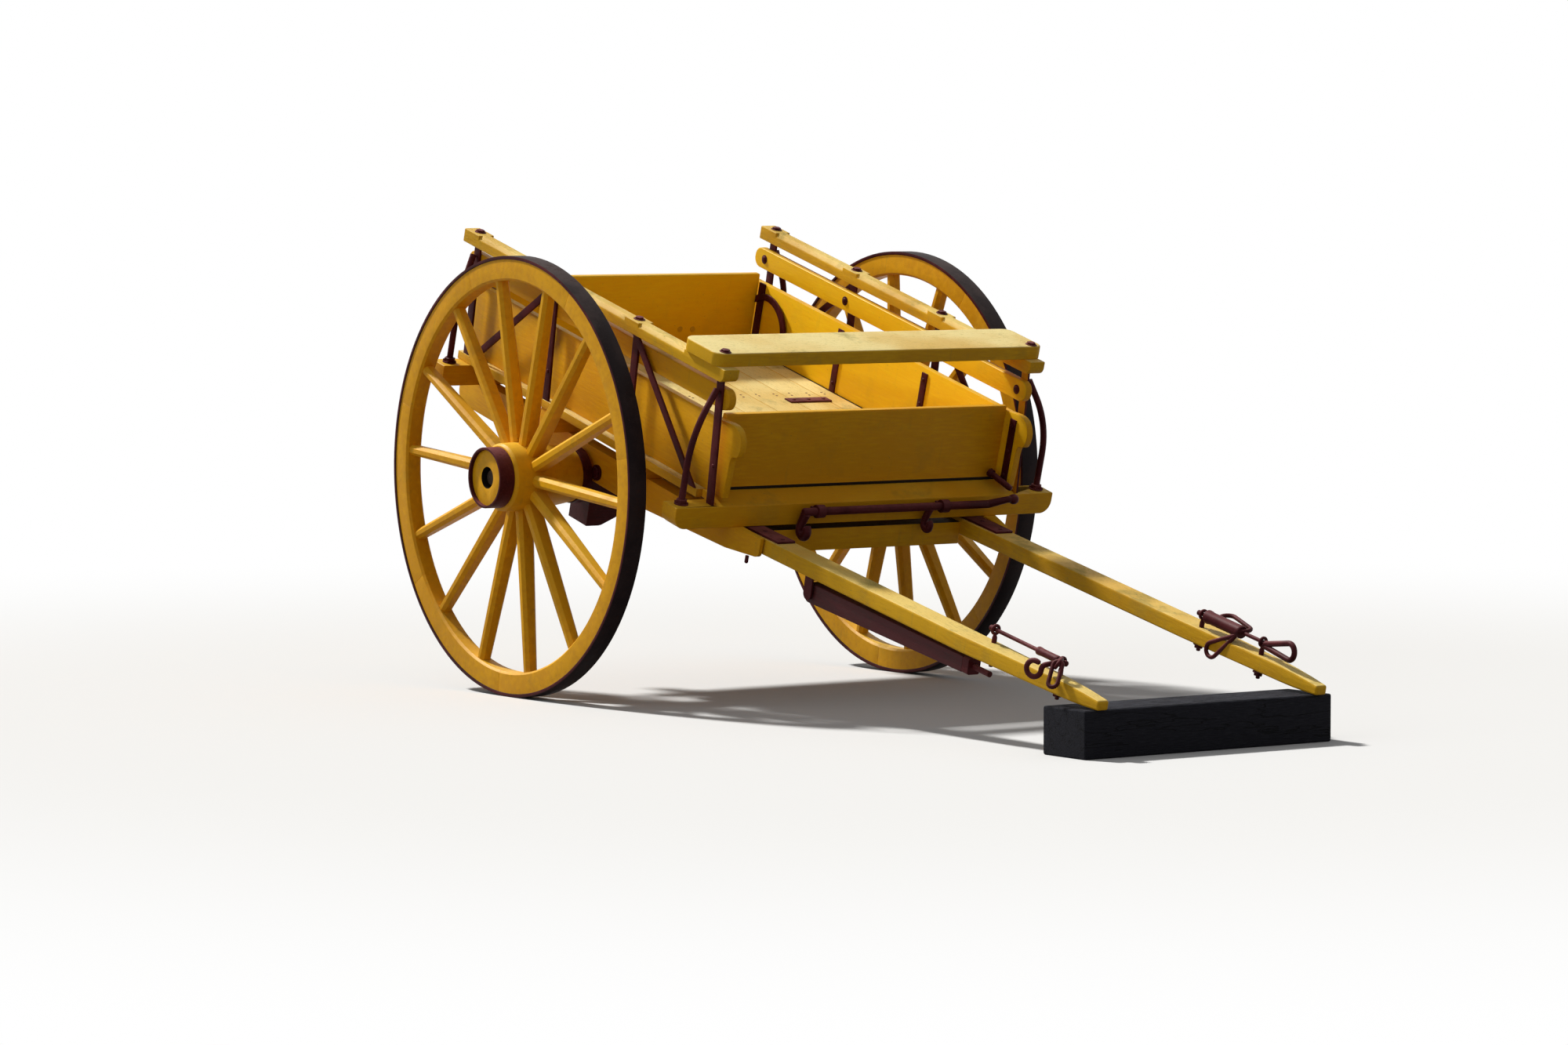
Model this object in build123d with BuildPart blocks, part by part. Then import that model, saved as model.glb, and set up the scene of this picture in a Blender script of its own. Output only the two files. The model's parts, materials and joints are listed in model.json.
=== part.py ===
from build123d import *
from math import cos, radians, sin, sqrt
import os

os.makedirs("parts", exist_ok=True)

# Driving dimensions of the cart, in millimetres and degrees
wheel_diameter = 1420
tray_inside_width = 1090
tray_slope = 15.6
shaft_slope = 12.7
shaft_reach = 2565
bearer_front_station = 820
bearer_rear_station = 660

# Timber sections
sill_depth = 108
sill_thickness = 50
bearer_depth = 70
bearer_width = 80
floor_thickness = 27
panel_thickness = 24
panel_height = 235
rail_depth = 44
rail_width = 58
mid_rail_depth = 68
sill_corner = 48
shaft_depth = 52
shaft_width = 82
board_thickness = 25

# Ironwork sections and clearances
iron_thickness = 8
bolt_head_height = 9
bolt_head_radius = 15
seat_gap = 0.3
running_gap = 0.06
sliding_gap = 5
shaft_side_gap = 5
hub_side_gap = 14

# Levels above the axle line, measured square to the tray floor
axle_half = 22
bed_top = 0
sill_bottom = 0
sill_top = sill_bottom + sill_depth
bearer_top = sill_top + bearer_depth
floor_top = bearer_top + floor_thickness
panel_top = floor_top + panel_height
mid_rail_level = panel_top + 73.5
rail_top = panel_top + 178
rail_level = rail_top - rail_depth / 2

# Distances out from the centre line
panel_inner = tray_inside_width / 2
panel_outer = panel_inner + panel_thickness
sill_outer = panel_outer - 49
sill_inner = sill_outer - sill_thickness
shaft_outer = sill_inner - shaft_side_gap
shaft_centre = shaft_outer - shaft_width / 2
shaft_inner = shaft_outer - shaft_width
rail_centre = panel_outer + 26
floor_half = panel_outer + 31
hub_rear = sill_outer + hub_side_gap
wheel_plane = hub_rear + 234.5

# Stations ahead of the axle, measured along the tray floor
sill_front = bearer_front_station + 156
sill_rear = bearer_rear_station + 130
floor_front = bearer_front_station - 60
floor_rear = -bearer_rear_station - 45
front_board_station = bearer_front_station - 48
tailboard_station = floor_rear + 33
panel_rear = floor_rear - 7

# Pivot of the tray on the shafts, ahead of the axle and above it
pivot_forward = 90
pivot_up = sill_depth - 73
pivot_radius = 11

# Taper of the shafts towards their tips: the underside rises and the outer face comes in most
taper_length = 635
tip_rise = 4
tip_outer_cut = 34
tip_inner_cut = 8
tip_curl_length = 170
tip_curl = 8
tip_fall_length = 230
tip_fall = 11
tip_nose_radius = 13
tip_top_radius = 9

# Tray directions and the place of the axle, with the origin under the middle of the whole cart
tray_forward = Vector(cos(radians(tray_slope)), 0, -sin(radians(tray_slope)))
tray_up = Vector(sin(radians(tray_slope)), 0, cos(radians(tray_slope)))
shaft_forward = Vector(cos(radians(shaft_slope)), 0, -sin(radians(shaft_slope)))
shaft_up = Vector(sin(radians(shaft_slope)), 0, cos(radians(shaft_slope)))
pivot_offset = pivot_forward * tray_forward + pivot_up * tray_up
tip_top = shaft_depth / 2 - tip_fall
tip_centre = (shaft_reach - tip_top_radius) * shaft_forward + (tip_top - tip_top_radius) * shaft_up
front_reach = (pivot_offset + tip_centre).X + tip_top_radius
sill_heel = (sill_rear - sill_corner) * tray_forward - sill_corner * tray_up
rear_reach = max(sill_heel.X + sill_corner, wheel_diameter / 2)
axle_point = Vector((rear_reach - front_reach) / 2, 0, wheel_diameter / 2)
pivot_point = axle_point + pivot_offset


def tray_side(out=0):
    """Plane in the tray's own frame, seen from the right-hand side."""
    return Plane(origin=axle_point + Vector(0, out, 0), x_dir=tray_forward, z_dir=(0, -1, 0))


def tray_deck(level=0):
    """Plane parallel to the tray floor at a level above the axle."""
    return Plane(origin=axle_point + level * tray_up, x_dir=tray_forward, z_dir=tray_up)


def tray_cross(station=0):
    """Plane across the tray at a station ahead of the axle, facing forward."""
    return Plane(origin=axle_point + station * tray_forward, x_dir=(0, 1, 0), z_dir=tray_forward)


def shaft_side(out=0):
    """Plane in the shafts' own frame, through the pivot, seen from the right-hand side."""
    return Plane(origin=pivot_point + Vector(0, out, 0), x_dir=shaft_forward, z_dir=(0, -1, 0))


def shaft_deck(level=0):
    """Plane parallel to the shafts' top at a level above their centre line."""
    return Plane(origin=pivot_point + level * shaft_up, x_dir=shaft_forward, z_dir=shaft_up)


def shaft_cross(station=0):
    """Plane across the shafts at a station ahead of the pivot, facing forward."""
    return Plane(origin=pivot_point + station * shaft_forward, x_dir=(0, 1, 0), z_dir=shaft_forward)


def wheel_side(out=0):
    """Upright plane through the axle, seen from the right-hand side."""
    return Plane(origin=axle_point + Vector(0, out, 0), x_dir=(1, 0, 0), z_dir=(0, -1, 0))


def save(piece, name):
    """Label a finished piece and write it as its own file."""
    piece.label = name
    export_step(piece, f"parts/{name}.step")


def shaft_under(station):
    """Level of the shafts' underside at a station ahead of the pivot."""
    behind = shaft_reach - station
    curl = tip_curl * max(0, 1 - behind / tip_curl_length) ** 2
    return tip_rise * max(0, 1 - behind / taper_length) + curl - shaft_depth / 2


sides = (("right", -1), ("left", 1))

# Wheels: fourteen spokes let into a turned hub and seven felloes, with a shrunk iron tyre
spoke_count = 14
felloe_count = 7
tyre_thickness = 11
tyre_width = 64
felloe_depth = 68
felloe_width = 58
felloe_joint = 1
spoke_phase = {"right": 97.4, "left": 94.5}
dish = 22
hub_radius = 111
hub_front = wheel_plane + 109.5
hub_spoke_plane = wheel_plane - dish
hub_flat = 38
hub_rear_radius = 84
hub_front_radius = 90
hub_recess_radius = 35
hub_recess_depth = 57
rear_band_width = 33
front_band_width = 55
front_band_lip = 12
band_thickness = 8
arm_radius = 23
spoke_root = 100
spoke_seat = 8
spoke_root_width = 38
spoke_root_depth = 58
spoke_tip_width = 33
spoke_tip_depth = 42
spoke_bevel = 10
felloe_outer = wheel_diameter / 2 - tyre_thickness
felloe_inner = felloe_outer - felloe_depth
spoke_tip = felloe_inner + spoke_seat
wheel_axis = Axis(axle_point, (0, 1, 0))


def wheel_section(side):
    """Half section of a wheel: X is the distance out from the centre line, Y the radius."""
    return Plane(origin=axle_point, x_dir=(0, side, 0), z_dir=(side, 0, 0))


for name, side in sides:
    with BuildPart() as tyre:
        with BuildSketch(wheel_side(side * wheel_plane)):
            Circle(wheel_diameter / 2)
            Circle(felloe_outer, mode=Mode.SUBTRACT)
        extrude(amount=tyre_width / 2, both=True)
    save(tyre.part, f"tyre_{name}")

    with BuildPart() as felloes:
        with BuildSketch(wheel_side(side * wheel_plane)):
            Circle(felloe_outer)
            Circle(felloe_inner, mode=Mode.SUBTRACT)
        extrude(amount=felloe_width / 2, both=True)
        inner_edges = felloes.edges().filter_by(GeomType.CIRCLE).group_by(SortBy.RADIUS)[0]
        chamfer(inner_edges, 7)
        with BuildSketch(wheel_side(side * wheel_plane)):
            joint_phase = spoke_phase[name] + 180 / spoke_count
            with PolarLocations(felloe_outer - felloe_depth / 2, felloe_count, start_angle=joint_phase):
                Rectangle(2 * felloe_depth, felloe_joint)
        extrude(amount=felloe_width, both=True, mode=Mode.SUBTRACT)
    save(felloes.part, f"felloes_{name}")

    with BuildPart() as hub:
        with BuildSketch(wheel_section(side)):
            with BuildLine():
                Polyline(
                    (hub_spoke_plane - hub_flat, hub_radius),
                    (hub_spoke_plane + hub_flat, hub_radius),
                    (hub_front - front_band_width + front_band_lip - 9, hub_radius - 2),
                    (hub_front - front_band_width + front_band_lip, hub_radius - 10),
                    (hub_front - front_band_width + front_band_lip, hub_front_radius),
                    (hub_front, hub_front_radius),
                    (hub_front, hub_recess_radius),
                    (hub_front - hub_recess_depth, hub_recess_radius),
                    (hub_front - hub_recess_depth, arm_radius + running_gap),
                    (hub_rear, arm_radius + running_gap),
                    (hub_rear, hub_rear_radius),
                    (hub_rear + rear_band_width, hub_rear_radius),
                    (hub_rear + rear_band_width, hub_rear_radius + 3),
                    (hub_spoke_plane - 2 * hub_flat, hub_radius - 7),
                    close=True,
                )
            make_face()
        revolve(axis=wheel_axis)
    save(hub.part, f"hub_{name}")

    with BuildPart() as hub_bands:
        with BuildSketch(wheel_section(side)):
            with Locations((hub_rear, hub_rear_radius)):
                Rectangle(rear_band_width, band_thickness, align=(Align.MIN, Align.MIN))
            with Locations((hub_front + front_band_lip, hub_front_radius)):
                Rectangle(front_band_width, band_thickness, align=(Align.MAX, Align.MIN))
        revolve(axis=wheel_axis)
    save(hub_bands.part, f"hub_bands_{name}")

    with BuildPart() as spoke:
        with BuildSketch(wheel_section(side)):
            with BuildLine():
                Polyline(
                    (hub_spoke_plane - spoke_root_depth / 2, spoke_root),
                    (hub_spoke_plane + spoke_root_depth / 2, spoke_root),
                    (wheel_plane + spoke_tip_depth / 2, spoke_tip),
                    (wheel_plane - spoke_tip_depth / 2, spoke_tip),
                    close=True,
                )
            make_face()
        extrude(amount=spoke_root_width, both=True)
        with BuildSketch(wheel_side(side * wheel_plane)):
            with BuildLine():
                Polyline(
                    (-spoke_root_width / 2, spoke_root),
                    (spoke_root_width / 2, spoke_root),
                    (spoke_tip_width / 2, spoke_tip),
                    (-spoke_tip_width / 2, spoke_tip),
                    close=True,
                )
            make_face()
        extrude(amount=felloe_width, both=True, mode=Mode.INTERSECT)
        long_edges = spoke.edges().sort_by(SortBy.LENGTH)[-4:]
        chamfer(long_edges, spoke_bevel)
    with BuildPart() as spokes:
        for index in range(spoke_count):
            turn = 90 - spoke_phase[name] + index * 360 / spoke_count
            add(spoke.part.rotate(wheel_axis, turn))
        add(hub.part, mode=Mode.SUBTRACT)
        add(felloes.part, mode=Mode.SUBTRACT)
    save(spokes.part, f"spokes_{name}")

# Axle: a square bar with round arms and shoulder collars, on a timber bed with deep shaped ends
collar_radius = 38
arm_end = hub_front - 14
bed_half_length = sill_outer - 12
bed_end_depth = 160
bed_middle_depth = 108
bed_half_width = 55
bed_end_length = 55
nut_radius = 29
nut_length = 34

with BuildPart() as axle:
    with BuildSketch(tray_side()):
        Rectangle(2 * axle_half, 2 * axle_half)
    extrude(amount=sill_outer, both=True)
    with BuildSketch(wheel_side()):
        Circle(arm_radius)
    extrude(amount=arm_end, both=True)
    for name, side in sides:
        with BuildSketch(wheel_side(side * (sill_outer + hub_side_gap / 2))):
            Circle(collar_radius)
        extrude(amount=hub_side_gap / 2 - running_gap, both=True)
save(axle.part, "axle")

with BuildPart() as axle_nuts:
    for name, side in sides:
        with BuildSketch(wheel_side(side * (hub_front - hub_recess_depth + seat_gap + nut_length / 2))):
            RegularPolygon(nut_radius, 8)
            Circle(arm_radius, mode=Mode.SUBTRACT)
        extrude(amount=nut_length / 2, both=True)
save(axle_nuts.part, "axle_nuts")

with BuildPart() as axle_bed:
    with BuildSketch(tray_cross()) as bed_outline:
        with BuildLine():
            right_half = Polyline(
                (0, bed_top),
                (bed_half_length, bed_top),
                (bed_half_length, -bed_end_depth),
                (bed_half_length - bed_end_length, -bed_end_depth),
                (bed_half_length - 3 * bed_end_length, -bed_middle_depth),
                (0, -bed_middle_depth),
            )
            mirror(right_half, about=Plane.YZ)
        make_face()
        lower_corners = bed_outline.vertices().group_by(Axis.Y)[0] + bed_outline.vertices().group_by(Axis.Y)[1]
        fillet(lower_corners.filter_by(lambda v: abs(v.X) < bed_half_length - 1), 40)
    extrude(amount=bed_half_width, both=True)
    add(axle.part, mode=Mode.SUBTRACT)
save(axle_bed.part, "axle_bed")

# Tray frame: two sills with tapered noses, cross bearers and a boarded floor
sill_nose_taper = 130
sill_nose_width = 12
sill_rise = 46
sill_rise_length = 725
sill_nose_corner = 16
bearer_front_half = panel_outer + 166
bearer_rear_half = panel_outer + 131
bearer_mid_half = panel_outer + 27
bearer_mid_stations = (-140, 345)
bearer_mid_width = 70
bearer_corner = 42
floor_boards_count = 9
board_gap = 2
ledge_half = panel_outer + 10
ledge_lip = 4
bearer_stations = {
    "front_bearer": (bearer_front_station, bearer_front_half),
    "rear_bearer": (-bearer_rear_station, bearer_rear_half),
}

for name, side in sides:
    with BuildPart() as sill:
        with BuildSketch(tray_side(side * sill_inner)) as sill_outline:
            with BuildLine():
                Polyline(
                    (-sill_rear, sill_bottom),
                    (sill_front - sill_rise_length, sill_bottom),
                    (sill_front, sill_bottom + sill_rise),
                    (sill_front, sill_top),
                    (-sill_rear, sill_top),
                    close=True,
                )
            make_face()
            fillet(sill_outline.vertices().sort_by(Axis.X)[:2].sort_by(Axis.Y)[0], sill_corner)
            fillet(sill_outline.vertices().sort_by(Axis.X)[-2:].sort_by(Axis.Y)[0], sill_nose_corner)
        extrude(amount=-side * sill_thickness)
        with BuildSketch(tray_deck(sill_bottom)):
            with BuildLine():
                Polyline(
                    (sill_front - sill_nose_taper, side * (sill_outer + 1)),
                    (sill_front - sill_nose_taper, side * sill_outer),
                    (sill_front + 1, side * (sill_inner + sill_nose_width)),
                    (sill_front + 1, side * (sill_outer + 1)),
                    close=True,
                )
            make_face()
        extrude(amount=sill_depth, mode=Mode.SUBTRACT)
        with BuildSketch(tray_side(side * sill_inner)):
            with Locations((pivot_forward, pivot_up)):
                Circle(pivot_radius)
        extrude(amount=-side * sill_thickness, mode=Mode.SUBTRACT)
        add(axle.part, mode=Mode.SUBTRACT)
    save(sill.part, f"sill_{name}")

for name, (station, half) in bearer_stations.items():
    with BuildPart() as bearer:
        with BuildSketch(tray_cross(station)) as bearer_outline:
            with Locations((0, sill_top + bearer_depth / 2)):
                Rectangle(2 * half, bearer_depth)
            fillet(bearer_outline.vertices().group_by(Axis.Y)[0], bearer_corner)
        extrude(amount=bearer_width / 2, both=True)
        if name == "front_bearer":
            with BuildSketch(tray_side()):
                with BuildLine():
                    Polyline(
                        (floor_front, bearer_top),
                        (floor_front, floor_top),
                        (front_board_station + board_thickness / 2, floor_top),
                        (station + bearer_width / 2 - ledge_lip, bearer_top),
                        close=True,
                    )
                make_face()
            extrude(amount=ledge_half, both=True)
    save(bearer.part, name)

with BuildPart() as mid_bearers:
    for station in bearer_mid_stations:
        with BuildSketch(tray_cross(station)):
            with Locations((0, sill_top + bearer_depth / 2)):
                Rectangle(2 * bearer_mid_half, bearer_depth)
        extrude(amount=bearer_mid_width / 2, both=True)
save(mid_bearers.part, "mid_bearers")

board_pitch = (2 * floor_half + board_gap) / floor_boards_count
with BuildPart() as floor_boards:
    with BuildSketch(tray_deck(bearer_top)):
        with Locations(((floor_front + floor_rear) / 2, 0)):
            with GridLocations(0, board_pitch, 1, floor_boards_count):
                Rectangle(floor_front - floor_rear, board_pitch - board_gap)
    extrude(amount=floor_thickness)
save(floor_boards.part, "floor_boards")

# Tray sides: scrolled panels, a front board between them and a lift-out tailboard between guides
scroll_shoulder = bearer_front_station - 20
scroll_tip = scroll_shoulder + 112
scroll_neck = scroll_shoulder + 66
front_board_rise = 14
tailboard_rise = 28
guide_width = 34
guide_thickness = 6

for name, side in sides:
    with BuildPart() as side_panel:
        with BuildSketch(tray_side(side * panel_inner)):
            with BuildLine():
                Polyline(
                    (scroll_neck, floor_top + 90),
                    (scroll_neck - 6, floor_top),
                    (panel_rear, floor_top),
                    (panel_rear, panel_top),
                    (scroll_shoulder, panel_top),
                )
                Spline(
                    (scroll_shoulder, panel_top),
                    (scroll_tip - 12, panel_top - 18),
                    (scroll_tip, panel_top - 50),
                    (scroll_tip - 14, panel_top - 90),
                    (scroll_neck, floor_top + 90),
                    tangents=((1, 0.12), (0, -1)),
                )
            make_face()
        extrude(amount=-side * panel_thickness)
    save(side_panel.part, f"side_panel_{name}")

with BuildPart() as front_board:
    with BuildSketch(tray_cross(front_board_station)):
        with Locations((0, floor_top)):
            Rectangle(
                2 * (panel_inner - seat_gap),
                panel_height + front_board_rise,
                align=(Align.CENTER, Align.MIN),
            )
    extrude(amount=board_thickness / 2, both=True)
    upper_edges = front_board.edges().filter_by(Axis.Y).sort_by(lambda e: (e.center() - axle_point).dot(tray_up))
    fillet(upper_edges[-2:], 6)
save(front_board.part, "front_board")

with BuildPart() as tailboard:
    with BuildSketch(tray_cross(tailboard_station)):
        with Locations((0, floor_top + seat_gap)):
            Rectangle(
                2 * (panel_inner - sliding_gap),
                panel_height + tailboard_rise - seat_gap,
                align=(Align.CENTER, Align.MIN),
            )
    extrude(amount=board_thickness / 2, both=True)
    upper_edges = tailboard.edges().filter_by(Axis.Y).sort_by(lambda e: (e.center() - axle_point).dot(tray_up))
    fillet(upper_edges[-2:], 6)
save(tailboard.part, "tailboard")

for name, side in sides:
    with BuildPart() as guides:
        guide_offset = board_thickness / 2 + sliding_gap + guide_width / 2
        for station in (tailboard_station - guide_offset, tailboard_station + guide_offset):
            if station - guide_width / 2 < panel_rear:
                width = 2 * (station - panel_rear)
            else:
                width = guide_width
            with BuildSketch(tray_side(side * panel_inner)):
                with Locations((station, floor_top)):
                    Rectangle(width, panel_height, align=(Align.CENTER, Align.MIN))
            extrude(amount=side * guide_thickness)
    save(guides.part, f"tailboard_guides_{name}")

# Rails: a stop-chamfered top rail and a middle plank on each side, and a seat board across the front
rail_rear = panel_rear - 23
rail_front = bearer_front_station + 22
rail_nose = 24
mid_rail_rear = rail_rear - 3
mid_rail_front = rail_front + 3
mid_rail_corner = 32
mid_rail_thickness = 28
stop_chamfer = 15
chamfer_stop = 42
seat_front = rail_front - 30
seat_rear = seat_front - 202
seat_half = rail_centre + 40
seat_thickness = 43
seat_corner = 36
rail_posts = (tailboard_station - 11, -195, 302, seat_front - 22)
stanchion_inner = rail_centre - 5
chamfer_ends = (*rail_posts[:3], seat_rear + chamfer_stop)

for name, side in sides:
    with BuildPart() as top_rail:
        with BuildSketch(tray_side(side * (rail_centre - rail_width / 2))) as rail_outline:
            with Locations((rail_rear, rail_level)):
                Rectangle(rail_front - rail_rear, rail_depth, align=(Align.MIN, Align.CENTER))
            lower_front = rail_outline.vertices().sort_by(Axis.X)[-2:].sort_by(Axis.Y)[0]
            fillet(lower_front, rail_nose)
        extrude(amount=-side * rail_width)
        for start, end in zip(chamfer_ends[:-1], chamfer_ends[1:]):
            with BuildSketch(tray_cross((start + end) / 2)):
                with Locations((side * rail_centre - rail_width / 2, rail_top)):
                    Rectangle(2 * stop_chamfer / sqrt(2), 2 * stop_chamfer / sqrt(2), rotation=45)
                with Locations((side * rail_centre + rail_width / 2, rail_top)):
                    Rectangle(2 * stop_chamfer / sqrt(2), 2 * stop_chamfer / sqrt(2), rotation=45)
            extrude(amount=(end - start) / 2 - chamfer_stop, both=True, mode=Mode.SUBTRACT)
    save(top_rail.part, f"top_rail_{name}")

    with BuildPart() as mid_rail:
        with BuildSketch(tray_side(side * (stanchion_inner - mid_rail_thickness))):
            with Locations(((mid_rail_rear + mid_rail_front) / 2, mid_rail_level)):
                RectangleRounded(mid_rail_front - mid_rail_rear, mid_rail_depth, mid_rail_corner)
        extrude(amount=-side * mid_rail_thickness)
    save(mid_rail.part, f"mid_rail_{name}")

with BuildPart() as seat_board:
    with BuildSketch(tray_deck(rail_top)):
        with Locations((seat_rear, 0)):
            Rectangle(seat_front - seat_rear, 2 * seat_half, align=(Align.MIN, Align.CENTER))
    extrude(amount=seat_thickness)
    upright_edges = seat_board.edges().filter_by(lambda e: abs(e.length - seat_thickness) < 0.1)
    fillet(upright_edges, seat_corner)
    chamfer(seat_board.faces().sort_by(lambda f: (f.center() - axle_point).dot(tray_up))[-1].edges(), 4)
save(seat_board.part, "seat_board")

# Tray ironwork: stanchions, crossed braces, outriggers, panel straps, floor straps and bolts
stanchion_width = 34
post_stations = (-bearer_rear_station, -155, 335, bearer_front_station + 14)
brace_width = 24
outrigger_radius = 10.5
outrigger_nut = 32
outrigger_bend = 360
outrigger_shoulder = 222
outrigger_lean = 24
strap_width = 30
strap_thickness = 5
strap_stations = post_stations[1:]
strap_height = panel_height - 16
rail_bottom = rail_top - rail_depth
brace_feet = (50 - bearer_rear_station, floor_front - brace_width)
brace_heads = rail_posts[1:3]

for name, side in sides:
    with BuildPart() as stanchions:
        for foot, head in zip(post_stations, rail_posts):
            foot_level = bearer_top if foot > floor_front else floor_top
            with BuildSketch(tray_side(side * stanchion_inner)):
                with BuildLine():
                    Polyline(
                        (foot - stanchion_width / 2, foot_level),
                        (foot + stanchion_width / 2, foot_level),
                        (head + stanchion_width / 2, rail_bottom),
                        (head - stanchion_width / 2, rail_bottom),
                        close=True,
                    )
                make_face()
            extrude(amount=-side * iron_thickness)
    save(stanchions.part, f"stanchions_{name}")

    with BuildPart() as braces:
        for foot, head in zip(brace_feet, brace_heads):
            lean = Vector(head - foot, rail_bottom - floor_top).normalized() * brace_width / 2
            with BuildSketch(tray_side(side * (stanchion_inner + iron_thickness))):
                with BuildLine():
                    half_foot = brace_width / 2 / lean.normalized().Y
                    Polyline(
                        (foot - half_foot, floor_top),
                        (foot + half_foot, floor_top),
                        (head + half_foot, rail_bottom),
                        (head - half_foot, rail_bottom),
                        close=True,
                    )
                make_face()
            extrude(amount=-side * iron_thickness)
    save(braces.part, f"braces_{name}")

    with BuildPart() as outriggers:
        for station, half in bearer_stations.values():
            foot_out = half - 42
            head_out = stanchion_inner + iron_thickness + outrigger_radius
            bend_level = bearer_top + outrigger_shoulder
            section = tray_cross(station)
            with BuildLine() as outrigger_path:
                FilletPolyline(
                    section.from_local_coords((side * foot_out, bearer_top, 0)),
                    section.from_local_coords((side * foot_out, bend_level, 0)),
                    section.from_local_coords((side * head_out, rail_bottom - outrigger_nut, -outrigger_lean)),
                    radius=outrigger_bend,
                )
            with BuildSketch(Plane(origin=outrigger_path.line @ 0, z_dir=outrigger_path.line % 0)):
                Circle(outrigger_radius)
            sweep(path=outrigger_path.line)
            with BuildSketch(tray_deck(bearer_top)):
                with Locations((station, side * foot_out)):
                    Rectangle(outrigger_nut, outrigger_nut)
            extrude(amount=bolt_head_height)
    save(outriggers.part, f"outriggers_{name}")

    with BuildPart() as panel_straps:
        for station in strap_stations:
            with BuildSketch(tray_side(side * panel_inner)):
                with Locations((station, floor_top)):
                    Rectangle(strap_width, strap_height, align=(Align.CENTER, Align.MIN))
            extrude(amount=side * strap_thickness)
    save(panel_straps.part, f"panel_straps_{name}")

with BuildPart() as rail_bolts:
    for name, side in sides:
        for station in rail_posts:
            level = rail_top + seat_thickness if station > seat_rear else rail_top
            with BuildSketch(tray_deck(level)):
                with Locations((station, side * rail_centre)):
                    RegularPolygon(bolt_head_radius, 6)
            extrude(amount=bolt_head_height)
save(rail_bolts.part, "rail_bolts")

# Small ironwork inside the tray: a strap on the floor and a curved catch for the tailboard on each panel
floor_strap_station = -70
floor_strap_width = 40
floor_strap_length = 167
floor_strap_out = panel_inner - 72
catch_bolt = (tailboard_station + 205, floor_top + 90)
catch_nose = (tailboard_station + board_thickness / 2 + sliding_gap, floor_top + 176)
catch_width = 24
catch_thickness = 8

with BuildPart() as floor_strap:
    with BuildSketch(tray_deck(floor_top)):
        with Locations((floor_strap_station, floor_strap_out)):
            Rectangle(floor_strap_width, floor_strap_length, align=(Align.CENTER, Align.MAX))
    extrude(amount=strap_thickness)
save(floor_strap.part, "floor_strap")

for name, side in sides:
    with BuildPart() as tailboard_catch:
        with BuildSketch(tray_side(side * (panel_inner - guide_thickness))):
            with BuildLine():
                ThreePointArc(
                    (catch_bolt[0] + catch_width / 2, catch_bolt[1]),
                    (catch_bolt[0] - 40, catch_nose[1] + 8),
                    (catch_nose[0], catch_nose[1] + catch_width / 2),
                )
                Line(
                    (catch_nose[0], catch_nose[1] + catch_width / 2),
                    (catch_nose[0], catch_nose[1] - catch_width / 2),
                )
                ThreePointArc(
                    (catch_nose[0], catch_nose[1] - catch_width / 2),
                    (catch_bolt[0] - 40 - catch_width * 0.7, catch_nose[1] + 8 - catch_width * 0.7),
                    (catch_bolt[0] - catch_width / 2, catch_bolt[1]),
                )
                Line(
                    (catch_bolt[0] - catch_width / 2, catch_bolt[1]),
                    (catch_bolt[0] + catch_width / 2, catch_bolt[1]),
                )
            make_face()
            with Locations(catch_bolt):
                Circle(catch_width / 2)
        extrude(amount=side * catch_thickness)
        with BuildSketch(tray_side(side * panel_inner)):
            with Locations(catch_bolt):
                Circle(catch_width / 2)
        extrude(amount=side * guide_thickness)
    save(tailboard_catch.part, f"tailboard_catch_{name}")

# Pivot rod through the sills and the rear ends of the shafts
washer_radius = 26
washer_thickness = 5
with BuildPart() as pivot_rod:
    with BuildSketch(shaft_side()):
        Circle(pivot_radius)
    extrude(amount=sill_outer + washer_thickness, both=True)
    for name, side in sides:
        with BuildSketch(shaft_side(side * (sill_outer + washer_thickness / 2))):
            Circle(washer_radius)
        extrude(amount=washer_thickness / 2, both=True)
save(pivot_rod.part, "pivot_rod")

# Shafts: two straight poles with round rear eyes and tapered tips, a crossbar and wear plates
taper_start = shaft_reach - taper_length
curl_start = shaft_reach - tip_curl_length
crossbar_station = bearer_front_station - pivot_forward + 5
crossbar_width = 62
crossbar_top = 30
crossbar_depth = 87
wear_rear = crossbar_station - 29
wear_length = 240
bearer_nose = Vector(bearer_front_station + bearer_width / 2 - pivot_forward, sill_top - pivot_up)
shaft_rise = tray_slope - shaft_slope
wear_top = bearer_nose.Y * cos(radians(shaft_rise)) - bearer_nose.X * sin(radians(shaft_rise)) - seat_gap

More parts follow.
